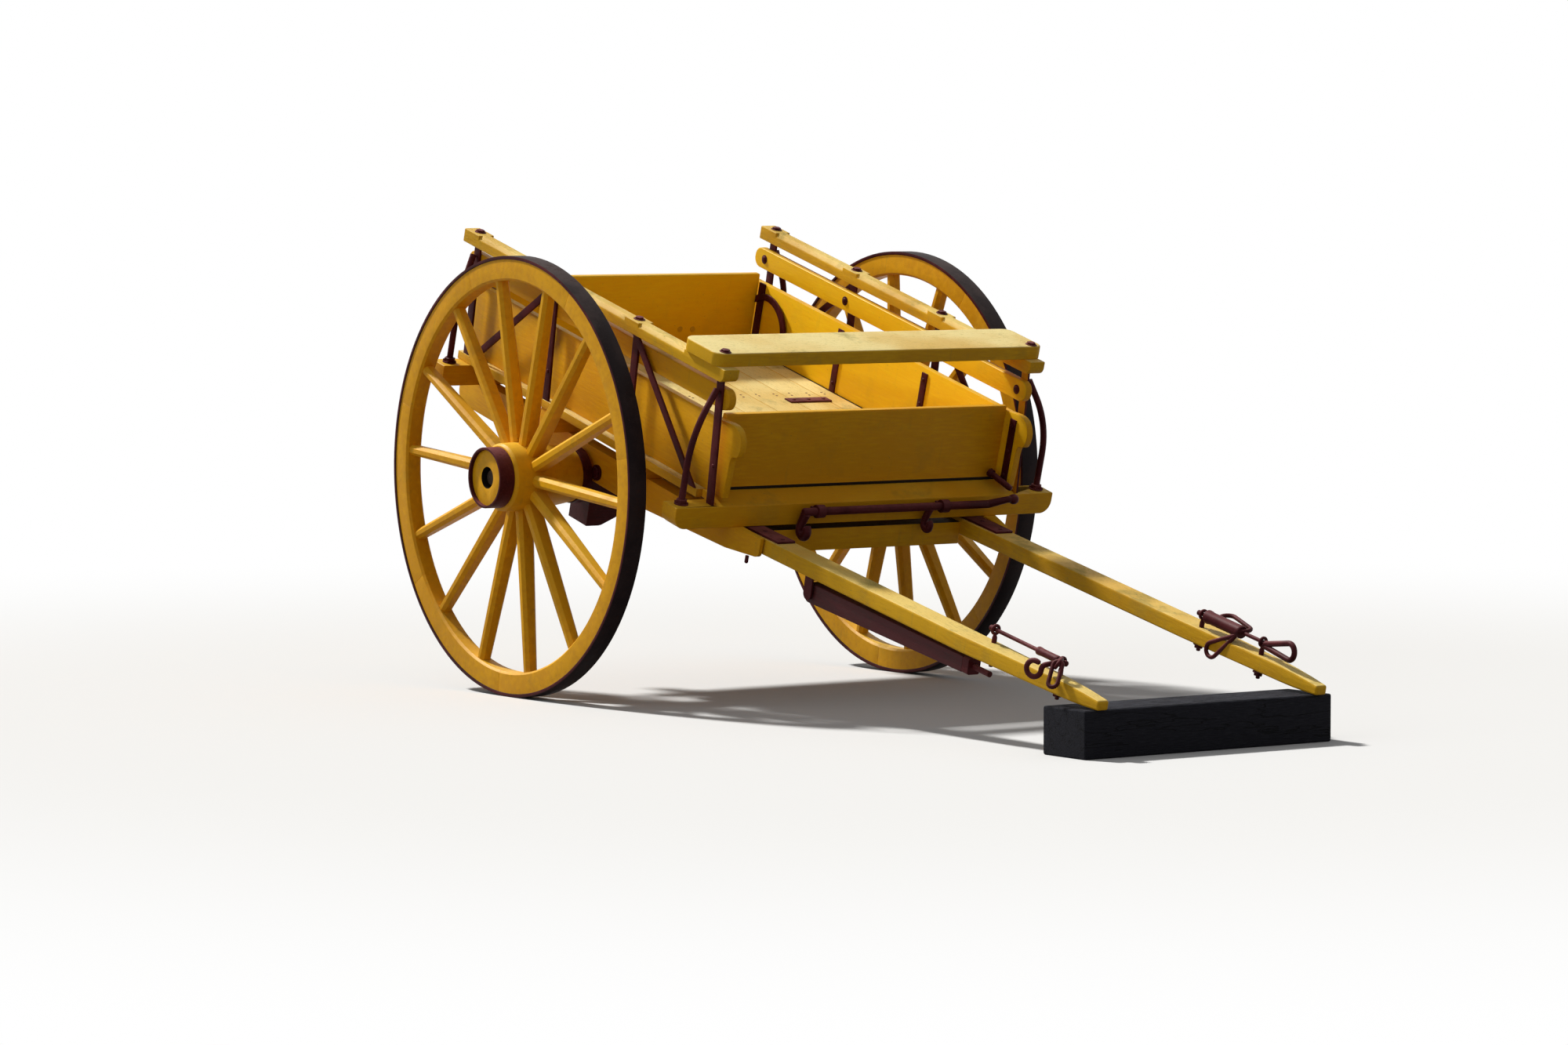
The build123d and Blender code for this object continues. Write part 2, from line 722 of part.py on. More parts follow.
for name, side in sides:
    with BuildPart() as shaft:
        with BuildSketch(shaft_side(side * shaft_centre)) as shaft_outline:
            with BuildLine():
                curl_middle = (curl_start + shaft_reach) / 2
                Polyline(
                    (0, -shaft_depth / 2),
                    (taper_start, -shaft_depth / 2),
                    (curl_start, shaft_under(curl_start)),
                )
                ThreePointArc(
                    (curl_start, shaft_under(curl_start)),
                    (curl_middle, shaft_under(curl_middle)),
                    (shaft_reach, shaft_under(shaft_reach)),
                )
                Line((shaft_reach, shaft_under(shaft_reach)), (shaft_reach, tip_top))
                ThreePointArc(
                    (shaft_reach, tip_top),
                    (shaft_reach - tip_fall_length / 2, shaft_depth / 2 - tip_fall / 4),
                    (shaft_reach - tip_fall_length, shaft_depth / 2),
                )
                Line((shaft_reach - tip_fall_length, shaft_depth / 2), (0, shaft_depth / 2))
                ThreePointArc((0, shaft_depth / 2), (-shaft_depth / 2, 0), (0, -shaft_depth / 2))
            make_face()
            nose_lower, nose_upper = shaft_outline.vertices().sort_by(Axis.X)[-2:].sort_by(Axis.Y)
            fillet(nose_upper, tip_top_radius)
            fillet(nose_lower, tip_nose_radius)
            Circle(pivot_radius + running_gap, mode=Mode.SUBTRACT)
        extrude(amount=shaft_width / 2, both=True)
        with BuildSketch(shaft_deck()):
            for edge, cut in ((-side, tip_inner_cut), (side, tip_outer_cut)):
                face = side * shaft_centre + edge * shaft_width / 2
                with BuildLine():
                    Polyline(
                        (taper_start, face),
                        (shaft_reach + 1, face - edge * cut),
                        (shaft_reach + 1, face + edge),
                        (taper_start, face + edge),
                        close=True,
                    )
                make_face()
        extrude(amount=shaft_depth, both=True, mode=Mode.SUBTRACT)
    save(shaft.part, f"shaft_{name}")

with BuildPart() as shaft_crossbar:
    with BuildSketch(shaft_cross(crossbar_station)):
        with Locations((0, crossbar_top)):
            Rectangle(2 * shaft_inner, crossbar_depth, align=(Align.CENTER, Align.MAX))
    extrude(amount=crossbar_width / 2, both=True)
save(shaft_crossbar.part, "shaft_crossbar")

with BuildPart() as wear_plates:
    for name, side in sides:
        with BuildSketch(shaft_deck(shaft_depth / 2)):
            with Locations((wear_rear, side * shaft_centre)):
                Rectangle(wear_length, shaft_width - 16, align=(Align.MIN, Align.CENTER))
        extrude(amount=wear_top - shaft_depth / 2)
save(wear_plates.part, "wear_plates")

# Tipping latch: a cranked rod across the front bearer, held in two eyes, with two hanging cams
bearer_face = bearer_front_station + bearer_width / 2
latch_forward = bearer_face + 32
latch_up = sill_top + 52
latch_radius = 13
latch_right = -300
latch_ball_radius = 15
latch_left = panel_inner - latch_ball_radius - sliding_gap
latch_bend = latch_left - 105
latch_crank = 45
latch_crank_angle = 50
cam_radius = 24
cam_thickness = 28
cam_drop = 68
cam_stations = (-262, 222)
eye_stations = (-212, 275)
eye_outer = latch_radius + 8
eye_width = 28
crank_rise = latch_crank * cos(radians(latch_crank_angle))
crank_forward = latch_crank * sin(radians(latch_crank_angle))

with BuildPart() as latch_rod:
    with BuildLine() as latch_path:
        latch_origin = tray_cross(latch_forward)
        FilletPolyline(
            latch_origin.from_local_coords((latch_right, latch_up, 0)),
            latch_origin.from_local_coords((latch_bend, latch_up, 0)),
            latch_origin.from_local_coords((latch_bend + 60, latch_up + crank_rise, crank_forward)),
            latch_origin.from_local_coords((latch_left, latch_up + crank_rise, crank_forward)),
            radius=20,
        )
    with BuildSketch(Plane(origin=latch_path.line @ 0, z_dir=(0, 1, 0))):
        Circle(latch_radius)
    sweep()
    with Locations(latch_path.line @ 1):
        Sphere(latch_ball_radius)
    for station in cam_stations:
        with BuildSketch(tray_side(station)):
            with Locations((latch_forward + 3, latch_up - cam_drop)):
                Circle(cam_radius)
            with Locations((latch_forward, latch_up)):
                Circle(latch_radius + 5)
            with Locations((latch_forward, latch_up)):
                Rectangle(2 * latch_radius, cam_drop, align=(Align.CENTER, Align.MAX))
        extrude(amount=cam_thickness / 2, both=True)
save(latch_rod.part, "latch_rod")

with BuildPart() as latch_eyes:
    for station in eye_stations:
        with BuildSketch(tray_side(station)):
            with Locations((latch_forward, latch_up)):
                Circle(eye_outer)
            with Locations((bearer_face, latch_up)):
                Rectangle(latch_forward - bearer_face, 16, align=(Align.MIN, Align.CENTER))
            with Locations((latch_forward, latch_up)):
                Circle(latch_radius + running_gap, mode=Mode.SUBTRACT)
        extrude(amount=eye_width / 2, both=True)
save(latch_eyes.part, "latch_eyes")

# Prop stick under the right shaft, hinged in a bracket behind and held by a hook in front
prop_pin = 1131
prop_drop = 78
prop_length = 800
prop_tip_drop = 64
prop_depth = 64
prop_tip_depth = 50
prop_width = 46
prop_pin_radius = 8
ferrule_length = 110
cheek_thickness = 6
shaft_right_y = -shaft_centre

with BuildPart() as prop_bracket:
    with BuildSketch(shaft_side(shaft_right_y)):
        with Locations((prop_pin, -prop_drop)):
            Circle(20)
        with Locations((prop_pin, -shaft_depth / 2)):
            Rectangle(40, prop_drop - shaft_depth / 2, align=(Align.CENTER, Align.MAX))
    extrude(amount=prop_width / 2 + sliding_gap + cheek_thickness, both=True)
    with BuildSketch(shaft_side(shaft_right_y)):
        with Locations((prop_pin, -shaft_depth / 2 - cheek_thickness)):
            Rectangle(60, 2 * prop_drop, align=(Align.CENTER, Align.MAX))
    extrude(amount=prop_width / 2 + sliding_gap, both=True, mode=Mode.SUBTRACT)
    with BuildSketch(shaft_side(shaft_right_y)):
        with Locations((prop_pin, -prop_drop)):
            Circle(prop_pin_radius)
    extrude(amount=prop_width / 2 + sliding_gap + cheek_thickness, both=True)
save(prop_bracket.part, "prop_bracket")

with BuildPart() as prop_leg:
    with BuildSketch(shaft_side(shaft_right_y)) as prop_outline:
        with BuildLine():
            Polyline(
                (prop_pin - 30, -prop_drop + prop_depth / 2),
                (prop_pin + prop_length, -prop_tip_drop + prop_tip_depth / 2),
                (prop_pin + prop_length, -prop_tip_drop - prop_tip_depth / 2),
                (prop_pin - 30, -prop_drop - prop_depth / 2),
                close=True,
            )
        make_face()
        fillet(prop_outline.vertices().sort_by(Axis.X)[:2], 24)
        with Locations((prop_pin, -prop_drop)):
            Circle(prop_pin_radius + running_gap, mode=Mode.SUBTRACT)
    extrude(amount=prop_width / 2, both=True)
save(prop_leg.part, "prop_leg")

with BuildPart() as prop_ferrule:
    with BuildSketch(shaft_cross(prop_pin + prop_length)):
        with Locations((shaft_right_y, -prop_tip_drop)):
            RectangleRounded(prop_width, prop_tip_depth, 8)
    extrude(amount=30)
    with BuildSketch(shaft_cross(prop_pin + prop_length + 30)):
        with Locations((shaft_right_y, -prop_tip_drop)):
            Circle(9)
    extrude(amount=ferrule_length - 30)
save(prop_ferrule.part, "prop_ferrule")

# Harness fittings: on each shaft a rod between two eyebolts with a sliding sleeve, and a hook at its front eye
harness_level = 66
harness_out = shaft_centre - 19
harness_rod_radius = 7
harness_eye_radius = 16
eye_post_width = 14
eye_thickness = 16
nut_width = 26
nut_depth = 14
hook_angle = 35
hook_length = 92
hook_depth = 40
hook_wire = 13
harness = {
    # side: stations behind the shaft's tip of the rear eye, front eye and sleeve, then its length and radius
    "right": (550, 222, 335, 95, 12.5),
    "left": (575, 285, 555, 170, 17),
}

for name, side in sides:
    eye_rear, eye_front, sleeve_start, sleeve_length, sleeve_radius = harness[name]
    rod_out = side * harness_out
    with BuildPart() as harness_rod:
        for station in (shaft_reach - eye_rear, shaft_reach - eye_front):
            with BuildSketch(shaft_side(rod_out)):
                with Locations((station, harness_level)):
                    Circle(harness_eye_radius)
                with Locations((station, shaft_depth / 2)):
                    Rectangle(
                        eye_post_width,
                        harness_level - shaft_depth / 2,
                        align=(Align.CENTER, Align.MIN),
                    )
                with Locations((station, shaft_under(station - nut_width / 2))):
                    Rectangle(nut_width, nut_depth, align=(Align.CENTER, Align.MAX))
            extrude(amount=eye_thickness / 2, both=True)
        with BuildSketch(shaft_cross(shaft_reach - eye_rear - harness_eye_radius - nut_depth)):
            with Locations((rod_out, harness_level)):
                Circle(harness_rod_radius)
        extrude(amount=eye_rear - eye_front + 2 * (harness_eye_radius + nut_depth))
    save(harness_rod.part, f"harness_rod_{name}")

    with BuildPart() as harness_sleeve:
        with BuildSketch(shaft_cross(shaft_reach - sleeve_start)):
            with Locations((rod_out, harness_level)):
                Circle(sleeve_radius)
                Circle(harness_rod_radius, mode=Mode.SUBTRACT)
        extrude(amount=sleeve_length)
    save(harness_sleeve.part, f"harness_sleeve_{name}")

    with BuildPart() as harness_hook:
        hook_forward = shaft_forward * cos(radians(hook_angle)) + Vector(0, side, 0) * sin(radians(hook_angle))
        rod_end = shaft_reach - eye_front + harness_eye_radius + nut_depth
        hook_root = shaft_side(rod_out).from_local_coords((rod_end, harness_level, 0))
        with BuildSketch(Plane(origin=hook_root, x_dir=hook_forward, z_dir=hook_forward.cross(shaft_up))):
            with Locations((hook_length / 2 - harness_rod_radius, 0)):
                SlotOverall(hook_length, hook_depth)
                SlotOverall(hook_length - 2 * hook_wire, hook_depth - 2 * hook_wire, mode=Mode.SUBTRACT)
        extrude(amount=hook_wire / 2, both=True)
        add(harness_rod.part, mode=Mode.SUBTRACT)
    save(harness_hook.part, f"harness_hook_{name}")

# Timber block that the shaft tips rest on when the cart is parked
block_depth = 200
block_half = panel_outer - 104
nose_station = shaft_reach - tip_nose_radius
nose_contact = pivot_point + nose_station * shaft_forward + shaft_under(nose_station) * shaft_up
block_height = nose_contact.Z - seat_gap

with BuildPart() as rest_block:
    with BuildSketch(Plane.XY):
        with Locations((nose_contact.X - block_depth / 2, 0)):
            Rectangle(block_depth, 2 * block_half)
    extrude(amount=block_height)
save(rest_block.part, "rest_block")
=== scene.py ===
import json
import logging
import math
import random
from dataclasses import dataclass, replace
from enum import Enum
from typing import Callable, ClassVar, Optional, Sequence, Union

import bpy
from mathutils import Matrix, Vector


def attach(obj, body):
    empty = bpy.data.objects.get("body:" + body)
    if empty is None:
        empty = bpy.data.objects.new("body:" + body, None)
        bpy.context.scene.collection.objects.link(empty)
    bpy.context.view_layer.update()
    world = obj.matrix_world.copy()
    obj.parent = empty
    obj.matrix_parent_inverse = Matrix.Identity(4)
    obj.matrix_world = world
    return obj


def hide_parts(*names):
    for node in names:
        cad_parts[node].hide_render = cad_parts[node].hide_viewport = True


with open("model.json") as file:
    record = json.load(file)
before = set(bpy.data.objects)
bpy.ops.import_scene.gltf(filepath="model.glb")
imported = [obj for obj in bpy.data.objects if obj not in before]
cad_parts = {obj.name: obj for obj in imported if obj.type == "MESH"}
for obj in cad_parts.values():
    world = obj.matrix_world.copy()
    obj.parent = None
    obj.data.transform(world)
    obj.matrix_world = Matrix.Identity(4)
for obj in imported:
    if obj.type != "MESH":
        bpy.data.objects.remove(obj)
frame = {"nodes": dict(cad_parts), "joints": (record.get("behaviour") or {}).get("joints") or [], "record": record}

log = logging.getLogger("cart")
SEED = 7
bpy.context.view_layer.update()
Number = Union[int, float]
Triple = tuple[float, float, float]
Colour = Triple
Runs = tuple[tuple[float, float], ...]
Corners = Sequence[Vector]
Material = bpy.types.Material
Piece = bpy.types.Object
Socket = bpy.types.NodeSocket
LEFTWARD = Vector((0, 1, 0))
UPWARD = Vector((0, 0, 1))


# Places: the frames of the cart that the pieces are set out in


class Side(Enum):
    """The two sides of the cart, with the sign of Y."""

    RIGHT = -1
    LEFT = 1

    @property
    def word(self) -> str:
        """The side's name as the CAD nodes spell it."""
        return self.name.lower()


@dataclass(frozen=True)
class SetOut:
    """A straight frame on the cart: its origin, and the slope that its forward way falls at, in radians."""

    origin: Vector
    slope: float

    @property
    def forward(self) -> Vector:
        """The frame's own forward direction."""
        return Vector((math.cos(self.slope), 0, -math.sin(self.slope)))

    @property
    def up(self) -> Vector:
        """The frame's own upward direction."""
        return Vector((math.sin(self.slope), 0, math.cos(self.slope)))

    def way(self, along: float, out: float, level: float) -> Vector:
        """Gives a direction of the frame in the cart's axes."""
        return (along * self.forward + level * self.up + Vector((0, out, 0))).normalized()

    def point(self, along: float, out: float, level: float) -> Vector:
        """Gives a point by its metres forward of the origin, left of the middle and above the origin."""
        return self.origin + along * self.forward + level * self.up + Vector((0, out, 0))

    def seat(self, along: float, out: float, level: float, outward: Vector, turn: float = 0.0) -> Matrix:
        """Gives a fixing's matrix: its Z is the way that the face looks, and its turn is in radians."""
        facing = outward.to_track_quat("Z", "X").to_matrix().to_4x4()
        return Matrix.Translation(self.point(along, out, level)) @ facing @ Matrix.Rotation(turn, 4, "Z")

    def both_sides(
        self, spots: Sequence[Triple], outward: Vector, turn: Optional[float] = 0.0
    ) -> list[Matrix]:
        """Seats fixings at the same spots on the right and the left side.

        Args:
            spots: distance along, distance from the middle plane and level of each.
            outward: the way that the left side's face looks.
            turn: how far each is screwed round, in radians, or None for a turn of its own.

        Returns:
            The matrices.
        """
        return [
            self.seat(
                along,
                side.value * out,
                level,
                Vector((outward.x, side.value * outward.y, outward.z)),
                random.uniform(0, 1) if turn is None else turn,
            )
            for side in Side
            for along, out, level in spots
        ]


def joint(name: str) -> dict:
    """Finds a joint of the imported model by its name."""
    return next(item for item in frame["joints"] if item["name"] == name)


TRAY_UP = Vector(joint("tailboard_lift")["axis"])
AXLE = Vector(joint("wheel_spin_right")["pos_m"])
PIVOT = Vector(joint("tray_tip")["pos_m"])
SHAFT_SLOPE = math.radians(12.7)
TRAY = SetOut(Vector((AXLE.x, 0, AXLE.z)), math.atan2(TRAY_UP.x, TRAY_UP.z))
SHAFTS = SetOut(Vector((PIVOT.x, 0, PIVOT.z)), SHAFT_SLOPE)


# Materials


class Wire:
    """A socket that takes part in arithmetic: each operator adds the Math node that it stands for."""

    def __init__(self, graph: "Graph", socket: Socket) -> None:
        """Keeps the socket and the node tree that it belongs to."""
        self.graph = graph
        self.socket = socket

    def math(self, operation: str, *others: Union["Wire", Number], first: bool = True) -> "Wire":
        """Adds a Math node.

        Args:
            operation: the node's operation.
            others: its other values.
            first: whether this wire goes into the first socket.

        Returns:
            The node's result.
        """
        values = [self, *others] if first else [*others, self]
        node = self.graph.add("ShaderNodeMath", {"operation": operation}, dict(enumerate(values)))
        return Wire(self.graph, node.outputs[0])

    def __add__(self, other: Union["Wire", Number]) -> "Wire":
        """Adds."""
        return self.math("ADD", other)

    def __sub__(self, other: Union["Wire", Number]) -> "Wire":
        """Subtracts."""
        return self.math("SUBTRACT", other)

    def __rsub__(self, other: Number) -> "Wire":
        """Subtracts this from a number."""
        return self.math("SUBTRACT", other, first=False)

    def __mul__(self, other: Union["Wire", Number]) -> "Wire":
        """Multiplies."""
        return self.math("MULTIPLY", other)

    def __abs__(self) -> "Wire":
        """Drops the sign."""
        return self.math("ABSOLUTE")

    __radd__ = __add__
    __rmul__ = __mul__

    def step(self, low: float, high: float) -> "Wire":
        """Gives a smooth step.

        Args:
            low: the value up to which it gives 0.
            high: the value from which it gives 1.

        Returns:
            The step, with a smooth rise between the two.
        """
        settings = {"interpolation_type": "SMOOTHSTEP"}
        values = {"Value": self, "From Min": low, "From Max": high}
        return Wire(self.graph, self.graph.add("ShaderNodeMapRange", settings, values).outputs[0])


class Graph:
    """A node tree under construction: every node but the arithmetic comes from its add method."""

    def __init__(self, tree: bpy.types.NodeTree) -> None:
        """Keeps the tree."""
        self.tree = tree

    def add(self, kind: str, settings: dict, values: dict) -> bpy.types.Node:
        """Adds a node.

        Args:
            kind: the node's type.
            settings: its own properties, which are set first.
            values: numbers, colours or links for its inputs, by name or index.

        Returns:
            The node.
        """
        node = self.tree.nodes.new(kind)
        for key, value in settings.items():
            setattr(node, key, value)
        for key, value in values.items():
            self.put(node.inputs[key], value)
        return node

    def put(self, socket: Socket, value: object) -> None:
        """Links a wire or socket to an input, or sets the input's own value.

        Args:
            socket: the input.
            value: a wire, a socket, a number or a colour.
        """
        if isinstance(value, Wire):
            value = value.socket
        if isinstance(value, Socket):
            self.tree.links.new(value, socket)
        elif socket.type == "RGBA" and len(value) == 3:
            socket.default_value = (*value, 1.0)
        else:
            socket.default_value = value

    def seen(self) -> Wire:
        """Tells the rays that show the white surround from those that light the cart.

        Returns:
            1 for the first and 0 for the second.
        """
        rays = self.add("ShaderNodeLightPath", {}, {}).outputs
        seen = Wire(self, rays["Is Camera Ray"])
        for name in ("Is Glossy Ray", "Is Transmission Ray"):
            seen = seen.math("MAXIMUM", Wire(self, rays[name]))
        return seen


class Shader(Graph):
    """A material under construction, with one Principled surface."""

    def __init__(self, name: str) -> None:
        """Makes a node material with an output and a surface.

        Args:
            name: the material's name.
        """
        self.material = bpy.data.materials.new(name)
        self.material.use_nodes = True
        super().__init__(self.material.node_tree)
        self.surface = self.tree.nodes["Principled BSDF"]
        self.place = self.add("ShaderNodeTexCoord", {}, {}).outputs["Object"]

    def feed(self, socket: str, value: object) -> None:
        """Feeds one of the surface's sockets."""
        self.put(self.surface.inputs[socket], value)

    def fix(self, socket: str, value: float) -> None:
        """Sets one of the surface's sockets to a constant."""
        self.surface.inputs[socket].default_value = value

    def mapped(self, turn: Triple, scale: Triple) -> Socket:
        """Turns the object's coordinates by radians about X, Y and Z, and then stretches them."""
        turned = self.add("ShaderNodeMapping", {}, {"Vector": self.place, "Rotation": turn})
        return self.add("ShaderNodeMapping", {}, {"Vector": turned.outputs[0], "Scale": scale}).outputs[0]

    def distance(self) -> Wire:
        """Gives the distance from the origin."""
        node = self.add("ShaderNodeVectorMath", {"operation": "LENGTH"}, {0: self.place})
        return Wire(self, node.outputs["Value"])

    def noise(self, scale: float, detail: float, rough: float, place: Optional[Socket] = None) -> Wire:
        """Adds a noise pattern of the given number of cells to the metre."""
        values = {"Vector": place or self.place, "Scale": scale, "Detail": detail, "Roughness": rough}
        return Wire(self, self.add("ShaderNodeTexNoise", {}, values).outputs[0])

    def cells(self, scale: float) -> Wire:
        """Adds a Voronoi pattern's distance from the middle of each cell."""
        node = self.add("ShaderNodeTexVoronoi", {}, {"Vector": self.place, "Scale": scale})
        return Wire(self, node.outputs["Distance"])

    def facing_up(self) -> Wire:
        """Reads how far the surface faces up in the piece's own axes.

        Returns:
            1 for a face that looks up, 0 for an upright one and -1 for one that looks down.
        """
        normal = self.add("ShaderNodeNewGeometry", {}, {}).outputs["Normal"]
        settings = {"vector_type": "NORMAL", "convert_from": "WORLD", "convert_to": "OBJECT"}
        own = self.add("ShaderNodeVectorTransform", settings, {"Vector": normal})
        values = {0: own.outputs[0], 1: tuple(UPWARD)}
        dot = self.add("ShaderNodeVectorMath", {"operation": "DOT_PRODUCT"}, values)
        return Wire(self, dot.outputs["Value"])

    def mix(self, factor: Union[Wire, Number], first: object, second: object) -> Socket:
        """Mixes two colours by the share of the second."""
        settings = {"data_type": "RGBA", "clamp_factor": True}
        return self.add("ShaderNodeMix", settings, {0: factor, 6: first, 7: second}).outputs[2]

    def bump(self, height: Wire, depth: float) -> None:
        """Feeds a height pattern to the surface's normal, its full range as deep as given, in metres."""
        values = {"Height": height, "Strength": 1.0, "Distance": depth}
        self.feed("Normal", self.add("ShaderNodeBump", {}, values).outputs[0])


class Grain(Enum):
    """Which way a piece's timber and brush strokes run: its frame's slope and the stretch of the pattern."""

    TRAY_LONG = (TRAY.slope, (1.0, 9.0, 9.0))
    TRAY_ACROSS = (TRAY.slope, (9.0, 1.0, 9.0))
    TRAY_UPRIGHT = (TRAY.slope, (9.0, 9.0, 1.0))
    SHAFT_LONG = (SHAFTS.slope, (1.0, 9.0, 9.0))
    ACROSS = (0.0, (9.0, 1.0, 9.0))
    NONE = (0.0, (3.0, 3.0, 3.0))

    def coordinates(self, shader: Shader, stretch: float = 1.0) -> Socket:
        """Gives coordinates that are stretched along the grain."""
        slope, scale = self.value
        return shader.mapped((0.0, -slope, 0.0), tuple(s * (stretch if s > 1.0 else 1.0) for s in scale))


class Part(Enum):
    """The three material slots of a dressed piece."""

    FACE = 0
    EDGE = 1
    SECOND = 2


@dataclass(frozen=True)
class Finish:
    """What every finish has: a name, the surface's sheen and the depth of its relief in metres."""

    name: str
    sheen: ClassVar[float] = 0.16
    relief: ClassVar[float] = 0.0010

    def begin(self, grain: Grain, part: Part) -> Shader:
        """Starts the material for a run of the grain and a part of the piece."""
        return Shader(f"{self.name}_{grain.name.lower()}_{part.name.lower()}")

    def build(self, grain: Grain, part: Part) -> Material:
        """Builds the material for a run of the grain and a part of the piece."""
        raise NotImplementedError

    def close(self, shader: Shader, tone: Socket, height: Wire) -> Material:
        """Feeds the tone and the relief, and sets the sheen.

        Args:
            shader: the material under construction.
            tone: its colour.
            height: the pattern of its relief.

        Returns:
            The finished material.
        """
        shader.feed("Base Color", tone)
        shader.fix("Specular IOR Level", self.sheen)
        shader.bump(height, self.relief)
        return shader.material


@dataclass(frozen=True)
class Enamel(Finish):
    """Brushed enamel on timber: strokes, raised grain, faded tops with painted sunlight, grime, specks, and rubbed
    arrises with a painted highlight.
    """

    colour: Colour
    deep: Colour
    faded: Colour
    grime: Colour
    rubbed: Colour
    rough: float
    soiling: float
    weathering: float

    def build(self, grain: Grain, part: Part) -> Material:
        """Builds the enamel's material.

        Args:
            grain: which way the grain or the brush strokes run.
            part: whether it is for faces or for rubbed arrises with a painted highlight.

        Returns:
            The material.
        """
        shader = self.begin(grain, part)
        strokes = shader.noise(16.0, 4.0, 0.6, grain.coordinates(shader))
        fibres = shader.noise(60.0, 3.0, 0.6, grain.coordinates(shader, 2.2))
        clouds = shader.noise(1.9, 3.0, 0.55)
        stains = shader.noise(6.5, 6.0, 0.64)
        specks = shader.noise(150.0, 2.0, 0.5)
        upward = shader.facing_up().step(0.3, 0.95)
        tone = shader.mix((strokes * 0.45 + clouds * 0.55).step(0.40, 0.60), self.deep, self.colour)
        # Faces that look up are paler: partly real fading, partly painted sunlight on the tops.
        tone = shader.mix(upward * (0.35 + 0.65 * clouds.step(0.35, 0.6)) * 0.7, tone, self.faded)
        lines = fibres.step(0.52, 0.66) * strokes.step(0.42, 0.62)
        weather = lines * (upward * 0.8 + 0.2) * self.weathering
        soil = stains.step(0.53, 0.70) * (upward * 0.6 + 0.4) * self.soiling
        runs = shader.noise(11.0, 3.0, 0.6, shader.mapped((0.0, -TRAY.slope, 0.0), (4.0, 4.0, 0.5)))
        soil = soil + runs.step(0.60, 0.76) * (1 - upward) * (0.35 * self.soiling)
        tone = shader.mix(weather + soil, tone, self.grime)
        marks = 1 - shader.cells(26.0).step(0.035, 0.06)
        tone = shader.mix(marks * stains.step(0.44, 0.52) * 0.75, tone, self.grime)
        tone = shader.mix(specks.step(0.70, 0.74) * 0.45, tone, self.grime)
        # Arrises are paler all along as a painted highlight, and paler still where patches of wear rub through.
        if part is Part.EDGE:
            wear = (stains * 0.5 + shader.noise(38.0, 4.0, 0.62) * 0.5).step(0.50, 0.60)
            tone = shader.mix(0.14 + wear * 0.42, tone, self.rubbed)
        shader.feed("Roughness", self.rough + soil * 0.3 + weather * 0.25 + strokes * 0.14)
        height = strokes * 0.8 + fibres * (0.25 + 0.5 * self.weathering) + stains * 0.35 - weather * 0.5
        return self.close(shader, tone, height)


@dataclass(frozen=True)
class Iron(Finish):
    """Painted or bare wrought iron: a hammered skin, dust and painted sunlight on top, and thin paint or rust at
    its arrises.
    """

    colour: Colour
    deep: Colour
    dust: Colour
    rust: Colour
    rough: float
    metal: float
    dusty: float
    sheen: ClassVar[float] = 0.08
    relief: ClassVar[float] = 0.0006

    def build(self, grain: Grain, part: Part) -> Material:
        """Builds the iron's material.

        Args:
            grain: which way the grain or the brush strokes run.
            part: whether it is for faces or for rubbed arrises.

        Returns:
            The material.
        """
        shader = self.begin(grain, part)
        strokes = shader.noise(26.0, 3.0, 0.6, grain.coordinates(shader))
        hammer = shader.noise(48.0, 2.0, 0.5)
        clouds = shader.noise(5.5, 5.0, 0.64)
        specks = shader.noise(230.0, 2.0, 0.5)
        upward = shader.facing_up().step(0.2, 0.95)
        tone = shader.mix(clouds.step(0.38, 0.62), self.deep, self.colour)
        tone = shader.mix(strokes.step(0.5, 0.75) * 0.3, tone, self.deep)
        # Faces that look up are paler: dust, and painted sunlight on the tops; some dust also lies in clouds
        # elsewhere.
        dust = (upward * (0.3 + 0.7 * clouds.step(0.36, 0.62)) + 0.2 * clouds.step(0.4, 0.68)) * self.dusty
        tone = shader.mix(dust, tone, self.dust)
        edge = part is Part.EDGE
        patches = clouds * 0.5 + shader.noise(62.0, 4.0, 0.7) * 0.5
        worn = patches.step(0.57 - 0.08 * edge, 0.62 - 0.05 * edge)
        tone = shader.mix(worn * (0.7 if edge else 0.4), tone, self.rust)
        tone = shader.mix(specks.step(0.67, 0.74) * 0.35, tone, self.dust)
        shader.feed("Roughness", self.rough + dust * 0.35 + worn * 0.15 + strokes * 0.1)
        shader.fix("Metallic", self.metal)
        return self.close(shader, tone, hammer * 0.6 + clouds * 0.4 + worn * -0.4 + specks * 0.1)


@dataclass(frozen=True)
class OldTimber(Finish):
    """Blackened bare timber: raised grain, long splits and greyer arrises."""

    colour: Colour
    pale: Colour
    split: Colour
    rough: float
    sheen: ClassVar[float] = 0.12
    relief: ClassVar[float] = 0.0045

    def build(self, grain: Grain, part: Part) -> Material:
        """Builds the timber's material.

        Args:
            grain: which way the grain or the brush strokes run.
            part: whether it is for faces or for rubbed arrises.

        Returns:
            The material.
        """
        shader = self.begin(grain, part)
        fibres = shader.noise(22.0, 5.0, 0.66, grain.coordinates(shader, 1.6))
        checks = shader.noise(2.6, 3.0, 0.5, grain.coordinates(shader, 1.2))
        clouds = shader.noise(4.5, 5.0, 0.62)
        upward = shader.facing_up().step(0.2, 0.9)
        tone = shader.mix(fibres.step(0.40, 0.72) * (0.30 + 0.6 * upward), self.colour, self.pale)
        tone = shader.mix(clouds.step(0.52, 0.72) * 0.45, tone, self.pale)
        crack = 1 - abs(checks - 0.5).step(0.002, 0.014)
        tone = shader.mix(crack * 0.9, tone, self.split)
        if part is Part.EDGE:
            tone = shader.mix(clouds.step(0.35, 0.6) * 0.5, tone, self.pale)
        shader.fix("Roughness", self.rough)
        return self.close(shader, tone, fibres * 0.8 - crack * 1.6 + clouds * 0.5)


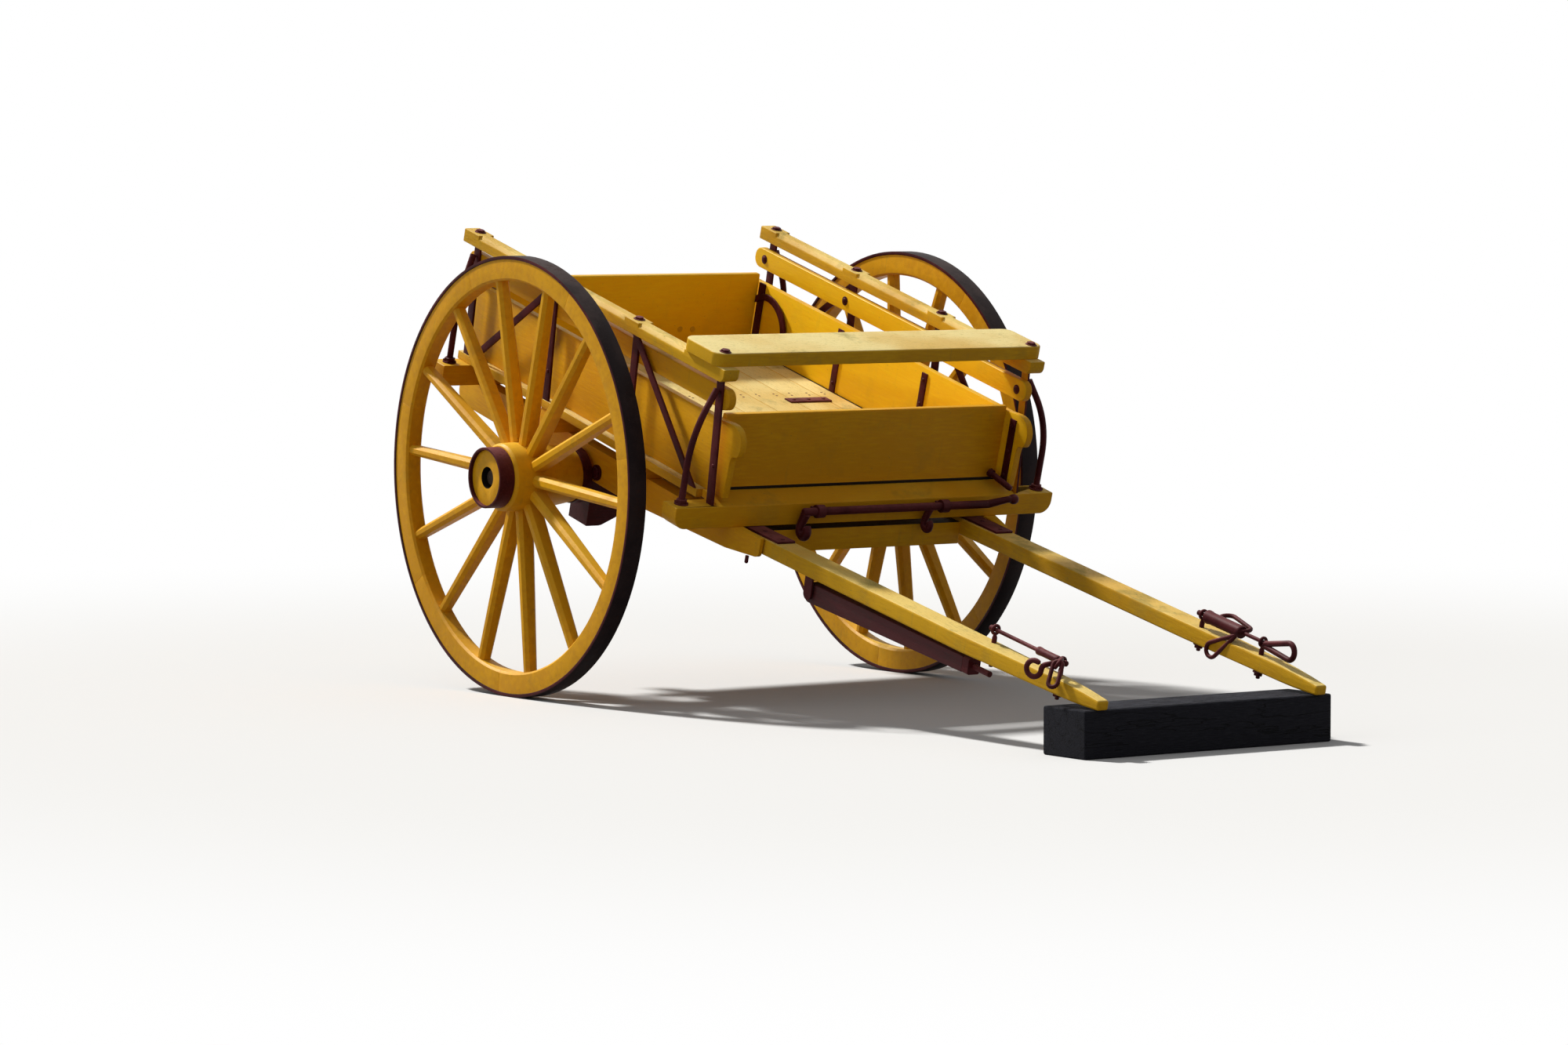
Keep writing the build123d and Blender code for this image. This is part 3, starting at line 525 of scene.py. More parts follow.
YELLOW = Enamel(
    "yellow_enamel",
    colour=(0.770, 0.385, 0.004),
    deep=(0.690, 0.315, 0.003),
    faded=(0.820, 0.540, 0.050),
    grime=(0.300, 0.205, 0.035),
    rubbed=(0.880, 0.600, 0.060),
    rough=0.42,
    soiling=0.42,
    weathering=0.12,
)
# A brighter, more orange copy of the yellow enamel for faces inside the tray: painted bounce light from the tray's
# floor.
INSIDE_BOUNCE_LIT_YELLOW = Enamel(
    "inside_enamel",
    colour=(0.920, 0.550, 0.006),
    deep=(0.890, 0.490, 0.004),
    faded=(0.930, 0.640, 0.060),
    grime=(0.360, 0.240, 0.035),
    rubbed=(0.930, 0.680, 0.080),
    rough=0.42,
    soiling=0.30,
    weathering=0.10,
)
WEATHERED_YELLOW = Enamel(
    "weathered_enamel",
    colour=(0.740, 0.410, 0.010),
    deep=(0.620, 0.320, 0.008),
    faded=(0.900, 0.710, 0.250),
    grime=(0.240, 0.205, 0.060),
    rubbed=(0.880, 0.690, 0.180),
    rough=0.48,
    soiling=0.55,
    weathering=0.75,
)
# The seat's and the floor's enamel, its tops paler still: partly sun bleaching, partly painted sunlight.
BLEACHED_AND_SUNLIT_YELLOW = replace(WEATHERED_YELLOW, name="bleached_enamel", faded=(0.950, 0.860, 0.440))
WHEEL_YELLOW = Enamel(
    "wheel_enamel",
    colour=(0.830, 0.410, 0.007),
    deep=(0.720, 0.330, 0.005),
    faded=(0.840, 0.520, 0.045),
    grime=(0.290, 0.195, 0.040),
    rubbed=(0.860, 0.560, 0.060),
    rough=0.40,
    soiling=0.55,
    weathering=0.15,
)
MAROON_WOOD = Enamel(
    "maroon_enamel",
    colour=(0.064, 0.008, 0.010),
    deep=(0.038, 0.005, 0.006),
    faded=(0.100, 0.026, 0.027),
    grime=(0.070, 0.040, 0.032),
    rubbed=(0.190, 0.085, 0.075),
    rough=0.42,
    soiling=0.35,
    weathering=0.15,
)
MAROON_IRON = Iron(
    "maroon_iron",
    colour=(0.078, 0.009, 0.012),
    deep=(0.042, 0.005, 0.007),
    dust=(0.300, 0.110, 0.112),
    rust=(0.060, 0.020, 0.013),
    rough=0.40,
    metal=0.0,
    dusty=0.42,
)
TYRE_IRON = Iron(
    "tyre_iron",
    colour=(0.018, 0.010, 0.011),
    deep=(0.009, 0.005, 0.006),
    dust=(0.100, 0.076, 0.072),
    rust=(0.040, 0.019, 0.014),
    rough=0.50,
    metal=0.0,
    dusty=0.45,
)
AXLE_IRON = Iron(
    "axle_iron",
    colour=(0.075, 0.042, 0.024),
    deep=(0.028, 0.018, 0.013),
    dust=(0.170, 0.120, 0.075),
    rust=(0.130, 0.060, 0.028),
    rough=0.50,
    metal=0.35,
    dusty=0.35,
)
# Dark, nearly black iron: real grease in the hubs' ends, and painted shade in the gaps under the front board, on
# the crossbar's top and along the panels' feet.
GREASE_AND_SHADE = Iron(
    "hub_grease",
    colour=(0.016, 0.012, 0.009),
    deep=(0.008, 0.006, 0.005),
    dust=(0.060, 0.045, 0.030),
    rust=(0.040, 0.024, 0.012),
    rough=0.38,
    metal=0.0,
    dusty=0.30,
)
BLOCK_TIMBER = OldTimber(
    "block_timber",
    colour=(0.009, 0.009, 0.013),
    pale=(0.052, 0.054, 0.068),
    split=(0.002, 0.002, 0.003),
    rough=0.85,
)
SLOT_FINISHES = {
    "yellow_timber": YELLOW,
    "maroon_timber": MAROON_WOOD,
    "maroon_iron": MAROON_IRON,
    "tyre_iron": TYRE_IRON,
    "axle_iron": AXLE_IRON,
    "old_timber": BLOCK_TIMBER,
}
NODE_SLOTS = {item["node"]: item["material_slot"] for item in frame["record"]["subparts"]}
NODE_BODIES = {
    node: body for body, nodes in frame["record"]["behaviour"]["bodies"].items() for node in nodes
}


class Paintshop:
    """Keeps each finish's materials, so that one is built once for each run of the grain."""

    def __init__(self) -> None:
        """Starts with no materials."""
        self.made: dict[tuple[str, Grain, Part], Material] = {}

    def get(self, finish: Finish, grain: Grain, part: Part = Part.FACE) -> Material:
        """Gives a finish's material, which is built at its first use.

        Args:
            finish: the finish.
            grain: the run of its grain.
            part: the slot that it is for.

        Returns:
            The material.
        """
        key = (finish.name, grain, part)
        if key not in self.made:
            self.made[key] = finish.build(grain, part)
        return self.made[key]

    def dress(self, piece: Piece, finish: Finish, grain: Grain, second: Optional[Finish]) -> None:
        """Gives a piece its materials.

        Args:
            piece: the piece.
            finish: the finish of its faces and its rubbed arrises, which on enamel carry a painted highlight.
            grain: the run of its grain.
            second: the finish of faces painted apart from the rest.
        """
        slots = piece.data.materials
        slots.clear()
        slots.append(self.get(finish, grain))
        slots.append(self.get(finish, grain, Part.EDGE))
        if second:
            slots.append(self.get(second, grain))


PAINT = Paintshop()


# Bench: the modelling steps that the sub-assemblies share


def deselect() -> None:
    """Leaves edit mode and deselects everything."""
    if bpy.context.object and bpy.context.object.mode != "OBJECT":
        bpy.ops.object.mode_set(mode="OBJECT")
    bpy.ops.object.select_all(action="DESELECT")


def activate(piece: Piece) -> None:
    """Makes one piece the only selected and the active one.

    Args:
        piece: the piece.
    """
    deselect()
    piece.select_set(True)
    bpy.context.view_layer.objects.active = piece


def smooth(piece: Piece, degrees: float = 32.0) -> None:
    """Shades a piece smooth, but for its sharp edges."""
    activate(piece)
    bpy.ops.object.shade_smooth_by_angle(angle=math.radians(degrees))


def joined(name: str, pieces: Sequence[Piece]) -> Piece:
    """Joins pieces into the first of them.

    Args:
        name: the joined piece's name.
        pieces: the pieces, of which the others stop being pieces of their own.

    Returns:
        The joined piece.
    """
    activate(pieces[0])
    for piece in pieces[1:]:
        piece.select_set(True)
    if len(pieces) > 1:
        bpy.ops.object.join()
    pieces[0].name = name
    return pieces[0]


def hand_over(
    piece: Piece,
    body: str,
    finish: Finish,
    grain: Grain,
    slot: str,
    nodes: Sequence[str] = (),
    second: Optional[Finish] = None,
) -> None:
    """Dresses a finished piece and hands it to its body.

    Args:
        piece: the piece, with its place in its mesh.
        body: the CAD body that it rides on.
        finish: its finish.
        grain: the run of its grain.
        slot: the record's material slot; not used.
        nodes: CAD nodes that it stands for.
        second: the finish of faces painted apart from the rest.
    """
    PAINT.dress(piece, finish, grain, second)
    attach(piece, body)
    if nodes:
        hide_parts(*nodes)
    log.info("%s on %s", piece.name, body)


def iron(piece: Piece, body: str, *nodes: str) -> None:
    """Hands over a piece of maroon ironwork."""
    hand_over(piece, body, MAROON_IRON, Grain.NONE, "maroon_iron", nodes)


def copied_solid(node: str, name: str) -> Piece:
    """Copies a CAD node's solid as a closed mesh of plain faces.

    Args:
        node: the CAD node.
        name: the new piece's name.

    Returns:
        The copy, in edit mode, with its doubles merged and its flat faces whole.
    """
    deselect()
    piece = bpy.data.objects.new(name, frame["nodes"][node].data.copy())
    bpy.context.scene.collection.objects.link(piece)
    activate(piece)
    bpy.ops.mesh.customdata_custom_splitnormals_clear()
    bpy.ops.object.mode_set(mode="EDIT")
    bpy.ops.mesh.select_all(action="SELECT")
    bpy.ops.mesh.remove_doubles(threshold=DOUBLES)
    bpy.ops.mesh.dissolve_limited(angle_limit=FLAT_WITHIN)
    return piece


EdgeTest = Callable[[Vector, Vector], bool]
FaceTest = Callable[[Corners, Vector], bool]
HAIR = 0.0005
DOUBLES = 1e-5
FLAT_WITHIN = math.radians(0.6)
SPOKE_EDGE = 0.3


@dataclass(frozen=True)
class Arris:
    """How the edges of a worn piece are rounded: width in metres, steps, and which edges count."""

    width: float
    steps: int = 2
    sharper_than: float = 28.0
    chosen: Optional[EdgeTest] = None


def runs_along_spoke(start: Vector, end: Vector) -> bool:
    """Chooses the edges that run the length of a spoke."""
    return (end - start).length > SPOKE_EDGE


def from_axle(point: Vector) -> float:
    """Gives a point's distance from the axle's line."""
    return math.hypot(point.x - AXLE.x, point.z - AXLE.z)


def follows_rim(start: Vector, end: Vector) -> bool:
    """Chooses the arcs about the axle, and leaves the joints between the felloes."""
    return abs(from_axle(start) - from_axle(end)) < HAIR and abs(start.y - end.y) < HAIR


def corners_of(piece: Piece, face: bpy.types.MeshPolygon) -> list[Vector]:
    """Gives the places of a face's corners."""
    return [piece.data.vertices[index].co for index in face.vertices]


def select_faces(piece: Piece, test: FaceTest) -> None:
    """Selects the faces of a piece in edit mode that a test picks.

    Args:
        piece: the piece.
        test: the test on a face's corners and on the way that it looks.
    """
    bpy.ops.mesh.select_mode(type="FACE")
    bpy.ops.mesh.select_all(action="DESELECT")
    bpy.ops.object.mode_set(mode="OBJECT")
    for face in piece.data.polygons:
        face.select = test(corners_of(piece, face), face.normal)
    bpy.ops.object.mode_set(mode="EDIT")


def part_faces(place: Vector, normal: Vector) -> None:
    """Parts all faces of the mesh in edit mode along a plane."""
    bpy.ops.mesh.select_all(action="SELECT")
    bpy.ops.mesh.bisect(plane_co=place, plane_no=normal)


@dataclass(frozen=True)
class Timber:
    """A CAD node that a worn copy stands in for: its arrises, its grain and its own finish if it has one.

    Faces that the painted test picks get the second finish, and prepare is a step before the arrises.
    """

    node: str
    arris: Arris
    grain: Grain
    finish: Optional[Finish] = None
    second: Optional[Finish] = None
    painted: Optional[FaceTest] = None
    prepare: Optional[Callable[[Piece], None]] = None

    def build(self) -> None:
        """Makes the worn copy and hands it over."""
        piece = copied_solid(self.node, f"worn_{self.node}")
        if self.prepare:
            self.prepare(piece)
        bpy.ops.mesh.select_mode(type="EDGE")
        bpy.ops.mesh.select_all(action="DESELECT")
        bpy.ops.mesh.edges_select_sharp(sharpness=math.radians(self.arris.sharper_than))
        if self.arris.chosen:
            bpy.ops.object.mode_set(mode="OBJECT")
            places = [vertex.co for vertex in piece.data.vertices]
            for edge in piece.data.edges:
                edge.select = edge.select and self.arris.chosen(*(places[index] for index in edge.vertices))
            bpy.ops.object.mode_set(mode="EDIT")
        bpy.ops.mesh.bevel(
            offset=self.arris.width,
            segments=self.arris.steps,
            profile=0.6,
            affect="EDGES",
            clamp_overlap=True,
            material=Part.EDGE.value,
        )
        smooth(piece)
        slot = NODE_SLOTS[self.node]
        finish = self.finish or SLOT_FINISHES[slot]
        hand_over(piece, NODE_BODIES[self.node], finish, self.grain, slot, [self.node], self.second)
        if self.painted:
            for face in piece.data.polygons:
                if self.painted(corners_of(piece, face), face.normal):
                    face.material_index = Part.SECOND.value


class Bar:
    """A round bar that is drawn out and bent in steps, as at a forge, in the cart's axes."""

    weld: ClassVar[float] = 0.0002

    def __init__(self, name: str, place: Vector, heading: Vector, radius: float, corners: int = 12) -> None:
        """Starts the bar with a ring across its heading.

        Args:
            name: the piece's name.
            place: where its middle starts.
            heading: the way that it sets off.
            radius: its radius in metres.
            corners: the corners of its section.
        """
        deselect()
        self.place = place.copy()
        self.heading = heading.normalized()
        self.radius = radius
        bpy.ops.mesh.primitive_circle_add(
            vertices=corners,
            radius=radius,
            fill_type="NOTHING",
            location=self.place,
            rotation=self.heading.to_track_quat("Z", "Y").to_euler(),
        )
        bpy.ops.object.transform_apply(location=True, rotation=True, scale=True)
        self.piece = bpy.context.object
        self.piece.name = name
        bpy.ops.object.mode_set(mode="EDIT")
        bpy.ops.mesh.select_mode(type="EDGE")
        bpy.ops.mesh.select_all(action="SELECT")

    def run(self, length: float, radius: Optional[float] = None) -> "Bar":
        """Draws the bar out straight.

        Args:
            length: how far, in metres.
            radius: the radius that it ends with, if that is another one.

        Returns:
            The bar.
        """
        bpy.ops.mesh.extrude_region_move(TRANSFORM_OT_translate={"value": self.heading * length})
        self.place += self.heading * length
        if radius and radius != self.radius:
            factor = radius / self.radius
            bpy.ops.transform.resize(value=(factor, factor, factor), center_override=self.place)
            self.radius = radius
        return self

    def draw(self, runs: Runs, scale: float = 1.0) -> "Bar":
        """Draws the bar out in several runs.

        Args:
            runs: the length of each, and the radius that it ends with.
            scale: a factor on the radii.

        Returns:
            The bar.
        """
        for length, radius in runs:
            self.run(length, radius * scale)
        return self

    def bend(self, degrees: float, towards: Vector, radius: float, steps: int) -> "Bar":
        """Bends the bar towards a direction.

        Args:
            degrees: how far it bends.
            towards: the side that it bends to.
            radius: the bend's radius, at the bar's middle.
            steps: the rings along the bend.

        Returns:
            The bar.
        """
        side = (towards - self.heading * towards.dot(self.heading)).normalized()
        centre = self.place + side * radius
        axis = self.heading.cross(side)
        bpy.ops.mesh.spin(steps=steps, angle=-math.radians(degrees), center=centre, axis=axis)
        turn = Matrix.Rotation(math.radians(degrees), 3, axis)
        self.place = centre + turn @ (self.place - centre)
        self.heading = turn @ self.heading
        return self

    def finish(self, closed: bool = False, crease: float = 40.0) -> Piece:
        """Closes the bar's ends, or welds them together, and shades it.

        Args:
            closed: whether its end meets its start.
            crease: the angle in degrees from which an edge stays sharp.

        Returns:
            The finished piece.
        """
        bpy.ops.mesh.select_all(action="SELECT")
        if closed:
            bpy.ops.mesh.remove_doubles(threshold=self.weld)
        else:
            bpy.ops.mesh.fill_holes(sides=0)
        bpy.ops.mesh.normals_make_consistent(inside=False)
        smooth(self.piece, crease)
        return self.piece


def reach(*runs: Runs) -> float:
    """Adds up the lengths of a bar's runs."""
    return sum(length for table in runs for length, _ in table)


@dataclass(frozen=True)
class Step:
    """One part of a fixing: the corners of its rings, and each ring's radius and height in metres."""

    corners: int
    rings: Runs

    def model(self) -> Piece:
        """Draws the part up from its lowest ring.

        Returns:
            The part as a piece.
        """
        radius, level = self.rings[0]
        bar = Bar("step", UPWARD * level, UPWARD, radius, self.corners)
        for radius, height in self.rings[1:]:
            bar.run(height - level, radius)
            level = height
        return bar.finish(crease=30.0)


@dataclass(frozen=True)
class Fixing:
    """A bolt head, nut or rivet: modelled once from its steps, then copied to its places."""

    steps: tuple[Step, ...]

    def set_out(self, name: str, places: Sequence[Matrix]) -> Piece:
        """Makes a copy with its own mesh at each place.

        Args:
            name: the name of the whole set.
            places: the matrices of the copies.

        Returns:
            The set as one piece.
        """
        pattern = joined(name, [step.model() for step in self.steps])
        copies = []
        for place in places:
            copy = pattern.copy()
            copy.data = pattern.data.copy()
            copy.data.transform(place)
            bpy.context.scene.collection.objects.link(copy)
            copies.append(copy)
        bpy.data.objects.remove(pattern)
        return joined(name, copies)

    def fasten(self, name: str, places: Sequence[Matrix], body: str, *nodes: str) -> None:
        """Sets the fixings out and hands them over as maroon ironwork."""
        iron(self.set_out(name, places), body, *nodes)


WASHER = Step(24, ((0.0185, 0.0), (0.0190, 0.0010), (0.0180, 0.0024), (0.0100, 0.0026)))
HEXAGON = Step(6, ((0.0140, 0.0020), (0.0146, 0.0030), (0.0146, 0.0074), (0.0122, 0.0088)))
RAIL_BOLT = Fixing((WASHER, HEXAGON))
DISH = Step(20, ((0.0155, 0.0), (0.0155, 0.0010), (0.0146, 0.0016), (0.0100, 0.0017)))
DOME = Step(16, ((0.0112, 0.0014), (0.0106, 0.0034), (0.0088, 0.0052), (0.0058, 0.0063), (0.0026, 0.0067)))
COACH_HEAD = Fixing((DISH, DOME))
RIVET = Fixing((Step(12, ((0.0072, 0.0), (0.0070, 0.0012), (0.0056, 0.0026), (0.0030, 0.0034))),))
NAIL = Fixing((Step(8, ((0.0042, 0.0), (0.0040, 0.0005), (0.0018, 0.0007))),))
PIN = Fixing((Step(12, ((0.0062, 0.0), (0.0062, 0.0200), (0.0050, 0.0230), (0.0030, 0.0245))),))
PLUG = Fixing((Step(20, ((0.0105, 0.0), (0.0104, 0.0004), (0.0098, 0.0007))),))
LOW_NUT = Fixing(
    (
        Step(8, ((0.0185, 0.0), (0.0190, 0.0010), (0.0190, 0.0052), (0.0170, 0.0066))),
        Step(12, ((0.0095, 0.0060), (0.0095, 0.0074), (0.0080, 0.0080))),
    )
)
FOOT_NUT = Fixing(
    (
        Step(24, ((0.0225, 0.0), (0.0230, 0.0012), (0.0222, 0.0034), (0.0130, 0.0038))),
        Step(6, ((0.0180, 0.0030), (0.0188, 0.0045), (0.0188, 0.0150), (0.0160, 0.0172))),
    )
)
END_NUT = Fixing(
    (
        Step(20, ((0.0180, 0.0), (0.0185, 0.0012), (0.0178, 0.0030), (0.0100, 0.0032))),
        Step(6, ((0.0135, 0.0026), (0.0142, 0.0036), (0.0142, 0.0120), (0.0122, 0.0134))),
        Step(12, ((0.0066, 0.0120), (0.0066, 0.0210), (0.0048, 0.0226))),
    )
)


@dataclass(frozen=True)
class Link:
    """A link on the shafts: where it starts, the ways of its length and width, and its size in metres.

    Its start is set out from the station that it hangs at: along the shafts, outward and up.
    """

    name: str
    start: Triple
    along: Triple
    across: Triple
    length: float
    width: float
    radius: float
    corners: ClassVar[int] = 10
    thin: ClassVar[float] = 0.8
    taper: ClassVar[float] = 0.2

    def axes(self) -> tuple[Vector, Vector]:
        """Gives the ways of its length and width, square to each other."""
        along, across = SHAFTS.way(*self.along), SHAFTS.way(*self.across)
        return along, (across - along * across.dot(along)).normalized()

    def oval(self, place: Vector) -> Piece:
        """Forges it closed and oval.

        Args:
            place: the middle of its near end.

        Returns:
            The link.
        """
        along, across = self.axes()
        bend = self.width / 2
        bar = Bar(self.name, place + (along - across) * bend, along, self.radius, self.corners)
        for side in (across, -across):
            bar.run(self.length - self.width).bend(180, side, bend, 10)
        return bar.finish(closed=True)

    def drop(self, place: Vector) -> Piece:
        """Forges it like a drop: two strands that thicken from one point, round a wider end.

        Args:
            place: the point that its strands start from.

        Returns:
            The link.
        """
        along, across = self.axes()
        bend = self.width / 2
        spread = math.asin(bend / (self.length - bend))
        strand = bend / math.tan(spread)
        neck = self.radius * self.thin
        outward = along * math.cos(spread) - across * math.sin(spread)
        bar = Bar(self.name, place, outward, neck, self.corners)
        taper = strand * self.taper
        bar.run(taper, self.radius).run(strand - taper)
        bar.bend(180 + 2 * math.degrees(spread), across, bend, 14)
        return bar.run(strand - taper).run(taper, neck).finish()


# Sub-assemblies


FINE = Arris(0.0015)
STRAP = Arris(0.0012, sharper_than=50.0)
EASED = Arris(0.0025)
SOFT = Arris(0.0045, 3)
ROUNDED = Arris(0.006, 3)


@dataclass
class Wheel:
    """A wheel: its tyre, felloes, spokes, hub and hub bands."""

    side: Side
    spoke_round: float = 0.0125
    rim_round: float = 0.0055
    recess_radius: float = 0.0362
    joint_half: float = 0.00055
    joint_groove: float = 0.0007

    def is_tyre_side(self, corners: Corners, normal: Vector) -> bool:
        """Picks the tyre's two flat sides, which are painted maroon."""
        return abs(normal.y) > 0.7

    def is_recess(self, corners: Corners, normal: Vector) -> bool:
        """Picks the greasy recess in the hub's end."""
        return max(from_axle(corner) for corner in corners) < self.recess_radius

    def is_joint(self, corners: Corners, normal: Vector) -> bool:
        """Picks the faces where two felloes meet.

        Args:
            corners: the face's corners.
            normal: the way that it looks.

        Returns:
            Whether it looks along the rim.
        """
        middle = sum(corners, Vector()) / len(corners) - AXLE
        along_rim = Vector((-middle.z, 0, middle.x)).normalized()
        return abs(normal.dot(along_rim)) > 0.999

    def fill_joints(self, piece: Piece) -> None:
        """Fills the joints between the felloes up to a shallow groove under the paint.

        Args:
            piece: the felloes, in edit mode.
        """
        select_faces(piece, self.is_joint)
        bpy.ops.mesh.inset(thickness=self.joint_groove, depth=0.0)
        bpy.ops.mesh.extrude_region_shrink_fatten(TRANSFORM_OT_shrink_fatten={"value": self.joint_half})

    def build(self) -> None:
        """Makes all the wheel's pieces."""
        word = self.side.word
        plain = Grain.NONE
        rims = Arris(self.rim_round, 3, chosen=follows_rim)
        rounds = Arris(self.spoke_round, 4, chosen=runs_along_spoke)
        Timber(f"tyre_{word}", EASED, plain, TYRE_IRON, MAROON_IRON, self.is_tyre_side).build()
        Timber(f"felloes_{word}", rims, plain, WHEEL_YELLOW, prepare=self.fill_joints).build()
        Timber(f"spokes_{word}", rounds, plain, WHEEL_YELLOW).build()
        Timber(f"hub_{word}", Arris(0.003), plain, WHEEL_YELLOW, GREASE_AND_SHADE, self.is_recess).build()
        Timber(f"hub_bands_{word}", Arris(0.002), plain).build()


@dataclass
class TrayFrame:
    """The tray's floor and what carries it: sills, bearers, boards, axle bed and pivot."""

    pivot_nut: Triple = (0.090, 0.525, 0.035)
    nut_turn: float = 0.2
    nose_pin: Triple = (0.936, 0.495, 0.040)
    pin_turn: float = 0.4
    board_tops: float = 0.205
    board_pitch: float = 0.1333
    boards: int = 9
    nail_rows: tuple[float, ...] = (-0.678, -0.642, -0.150, -0.130, 0.335, 0.355)
    nail_shift: float = 0.036
    nail_wander: float = 0.004
    strap_along: float = -0.070
    strap_bolts: tuple[float, ...] = (0.330, 0.390, 0.450)
    strap_top: float = 0.210
    joint_from: float = 0.5395
    joint_to: float = 0.5570

    def is_joint(self, corners: Corners, normal: Vector) -> bool:
        """Picks the strips of the floor along the panels' feet, which are painted dark as the shade in the joint.

        Args:
            corners: the face's corners.
            normal: the way that it looks.

        Returns:
            Whether it is one of those strips and looks up.
        """
        outs = [abs(corner.y) for corner in corners]
        inside = min(outs) > self.joint_from - HAIR and max(outs) < self.joint_to + HAIR
        return inside and normal.dot(TRAY.up) > 0.9

    def mark_joints(self, piece: Piece) -> None:
        """Parts those strips from the boards' tops."""
        for out in (self.joint_from, -self.joint_from, self.joint_to, -self.joint_to):
            part_faces(LEFTWARD * out, LEFTWARD)

    def build(self) -> None:
        """Makes the frame's timbers and fixings."""
        along, across = Grain.TRAY_LONG, Grain.TRAY_ACROSS
        for side in Side:
            Timber(f"sill_{side.word}", ROUNDED, along).build()
        for node in ("front_bearer", "rear_bearer", "mid_bearers"):
            Timber(node, SOFT, across).build()
        edges = Arris(0.002)
        # The floor boards take the bleached enamel with its painted sunlit tops, and their strips along the
        # panels' feet are painted shade.
        Timber("floor_boards", edges, along, BLEACHED_AND_SUNLIT_YELLOW, GREASE_AND_SHADE, self.is_joint, self.mark_joints).build()
        Timber("floor_strap", STRAP, across).build()
        Timber("axle_bed", SOFT, Grain.ACROSS).build()
        LOW_NUT.fasten("pivot_nuts", TRAY.both_sides([self.pivot_nut], LEFTWARD, self.nut_turn), "tray")
        PIN.fasten("sill_nose_pins", TRAY.both_sides([self.nose_pin], -TRAY.up, self.pin_turn), "tray")
        self.fix_boards()

    def fix_boards(self) -> None:
        """Nails the floor boards down and rivets the strap on them."""
        places = []
        for index in range(self.boards):
            middle = (index - (self.boards - 1) / 2) * self.board_pitch
            for along in self.nail_rows:
                for shift in (-self.nail_shift, self.nail_shift):
                    wander = random.uniform(-self.nail_wander, self.nail_wander)
                    out = middle + shift - wander
                    places.append(TRAY.seat(along + wander, out, self.board_tops, TRAY.up))
        NAIL.fasten("floor_nails", places, "tray")
        places = [TRAY.seat(self.strap_along, out, self.strap_top, TRAY.up) for out in self.strap_bolts]
        RIVET.fasten("strap_rivets", places, "tray")


